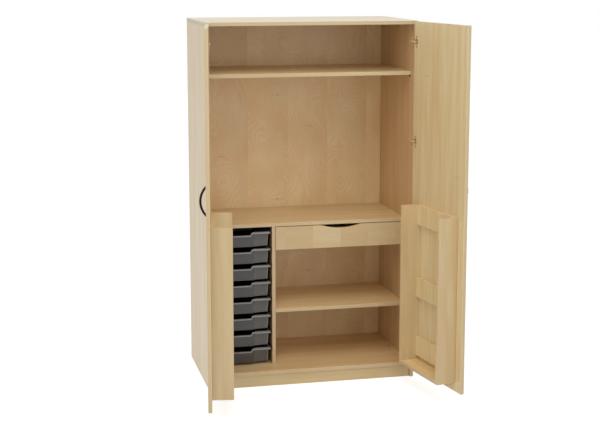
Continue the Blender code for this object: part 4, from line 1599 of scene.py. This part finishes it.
    def build_rails(self, side: Side) -> None:
        """One side's runners: a channel for each tray's rim, screwed to the wall.

        Args:
            side: the side.
        """
        node = f"tray_runners_{side.label}"
        low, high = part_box(node)
        wall, inner = (low.x, high.x) if side is Side.LEFT else (high.x, low.x)
        web = wall - side * self.rail_web
        shape = Shape()
        for number in range(1, self.count + 1):
            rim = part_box(f"tray_{number}")[1].z
            roof = rim + self.rail_play
            ledge = rim - self.lip - self.rail_play / 3
            outline = [
                (wall, roof + self.rail_ledge),
                (inner, roof + self.rail_ledge),
                (inner, roof),
                (web, roof),
                (web, ledge),
                (inner, ledge),
                (inner, ledge - self.rail_ledge),
                (wall, ledge - self.rail_ledge),
            ]
            verts = shape.prism([(x, low.y, z) for x, z in outline], (0.0, high.y - low.y, 0.0))
            shape.soften(verts, self.rail_round)
        mesh = shape.mesh(f"runner_rails_{side.label}")
        add_piece(mesh, [self.finishes.runner], "carcass", "runner_plastic", node)


@dataclass
class Drawer:
    """The wooden drawer and its slides."""

    maple: Maple
    finishes: Finishes
    # The front's tint is painted shade.
    boards: Boards = (
        ("front", replace(ACROSS, figure=Figure.BLOCKS), even((0.86, 0.87, 0.93))),
        ("side_left", ALONG, Tone()),
        ("side_right", ALONG, Tone()),
        ("back", ACROSS, Tone()),
        ("bottom", LEVEL, Tone()),
    )
    seed: float = 70.0

    def build(self) -> None:
        """Dresses the drawer's boards and its slides."""
        self.maple.dress_all(self.boards, self.seed, "drawer_")
        for side in Side:
            wear(f"drawer_slide_{side.label}", self.finishes.slide.material())


@dataclass(frozen=True)
class SoftLight:
    """One square area light, aimed at the middle of the cupboard."""

    name: str
    place: Triple
    power: float
    size: float = 3.0
    aim: Triple = (0.0, 0.0, 0.9)

    def build(self) -> None:
        """Adds the light."""
        data = bpy.data.lights.new(self.name, "AREA")
        data.size = self.size
        data.energy = self.power
        light = add_object(self.name, data)
        light.location = self.place
        way = Vector(self.aim) - Vector(self.place)
        light.rotation_euler = way.to_track_quat("-Z", "Y").to_euler()


@dataclass
class Studio:
    """A white studio: the camera, the white world, soft lights and the floor."""

    camera_place: Triple = (-1.4969, -6.3013, 2.067)
    camera_pitch: float = 9.755
    camera_yaw: float = 12.873
    lens: float = 80.14
    shift_up: float = -0.03
    ambient: float = 0.64
    lights: Tuple[SoftLight, ...] = (
        SoftLight("light_over", (-0.6, -3.0, 5.2), 89.0),
        SoftLight("light_left", (-4.8, -3.6, 3.0), 41.0),
        SoftLight("light_front", (2.6, -6.2, 2.2), 42.0),
        SoftLight("light_low", (-0.6, -5.5, 0.6), 14.0),
    )
    floor_size: float = 30.0
    floor_colour: float = 0.80
    floor_seen: float = 0.45
    floor_glow: float = 0.78

    def build_camera(self) -> None:
        """The camera at the photograph's place."""
        data = bpy.data.cameras.new("camera")
        data.lens = self.lens
        data.shift_y = self.shift_up
        camera = add_object("camera", data)
        camera.location = self.camera_place
        pitch = math.radians(90.0 - self.camera_pitch)
        camera.rotation_euler = (pitch, 0.0, -math.radians(self.camera_yaw))
        bpy.context.scene.camera = camera

    def seen(self, graph: Graph) -> Value:
        """1 for the rays that show the background: camera, glossy and transmission rays."""
        rays = graph.node("ShaderNodeLightPath").outputs
        return graph.largest(*(rays[kind] for kind in SEEN_RAYS))

    def build_world(self) -> None:
        """A white world, dimmer for the light that it casts."""
        world = bpy.data.worlds.new("white_world")
        bpy.context.scene.world = world
        graph = Graph(world, "Background")
        strength = self.seen(graph) * (1.0 - self.ambient) + self.ambient
        graph.feed_shader(Color=WHITE, Strength=strength)

    def build_floor(self) -> None:
        """A white floor that keeps the cupboard's shadow."""
        graph = Graph(bpy.data.materials.new("studio_floor"))
        plain, matt = (
            graph.node("ShaderNodeBsdfDiffuse", None, {"Color": (grey,) * 3}).outputs[0]
            for grey in (self.floor_colour, self.floor_seen)
        )
        glow = graph.node("ShaderNodeEmission", None, {"Strength": self.floor_glow}).outputs[0]
        shown = graph.node("ShaderNodeAddShader", None, {0: matt, 1: glow}).outputs[0]
        inputs = {0: self.seen(graph), 1: plain, 2: shown}
        both = graph.node("ShaderNodeMixShader", None, inputs).outputs[0]
        graph.feed(graph.tree.nodes["Material Output"].inputs["Surface"], both)
        shape = Shape()
        bmesh.ops.create_grid(shape.bm, x_segments=1, y_segments=1, size=self.floor_size / 2)
        mesh = shape.mesh("studio_floor")
        mesh.materials.append(graph.owner)
        floor = add_object("studio_floor", mesh)

    def build(self) -> None:
        """Builds the studio."""
        bpy.context.scene.view_settings.view_transform = "Standard"
        self.build_camera()
        self.build_world()
        for light in self.lights:
            light.build()
        self.build_floor()
        LOG.info("studio built")


def write_sizes() -> None:
    """Brings the view layer up to date."""
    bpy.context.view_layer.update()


def main() -> None:
    """Builds the studio, then each sub-assembly in order."""
    logging.basicConfig(level=logging.INFO, format="%(message)s")
    maple = Maple()
    finishes = Finishes()
    Studio().build()
    Carcass(maple, finishes).build()
    for side in Side:
        RackDoor(side, maple, finishes).build()
    Trays(finishes).build()
    Drawer(maple, finishes).build()
    write_sizes()


if __name__ == "__main__":
    main()
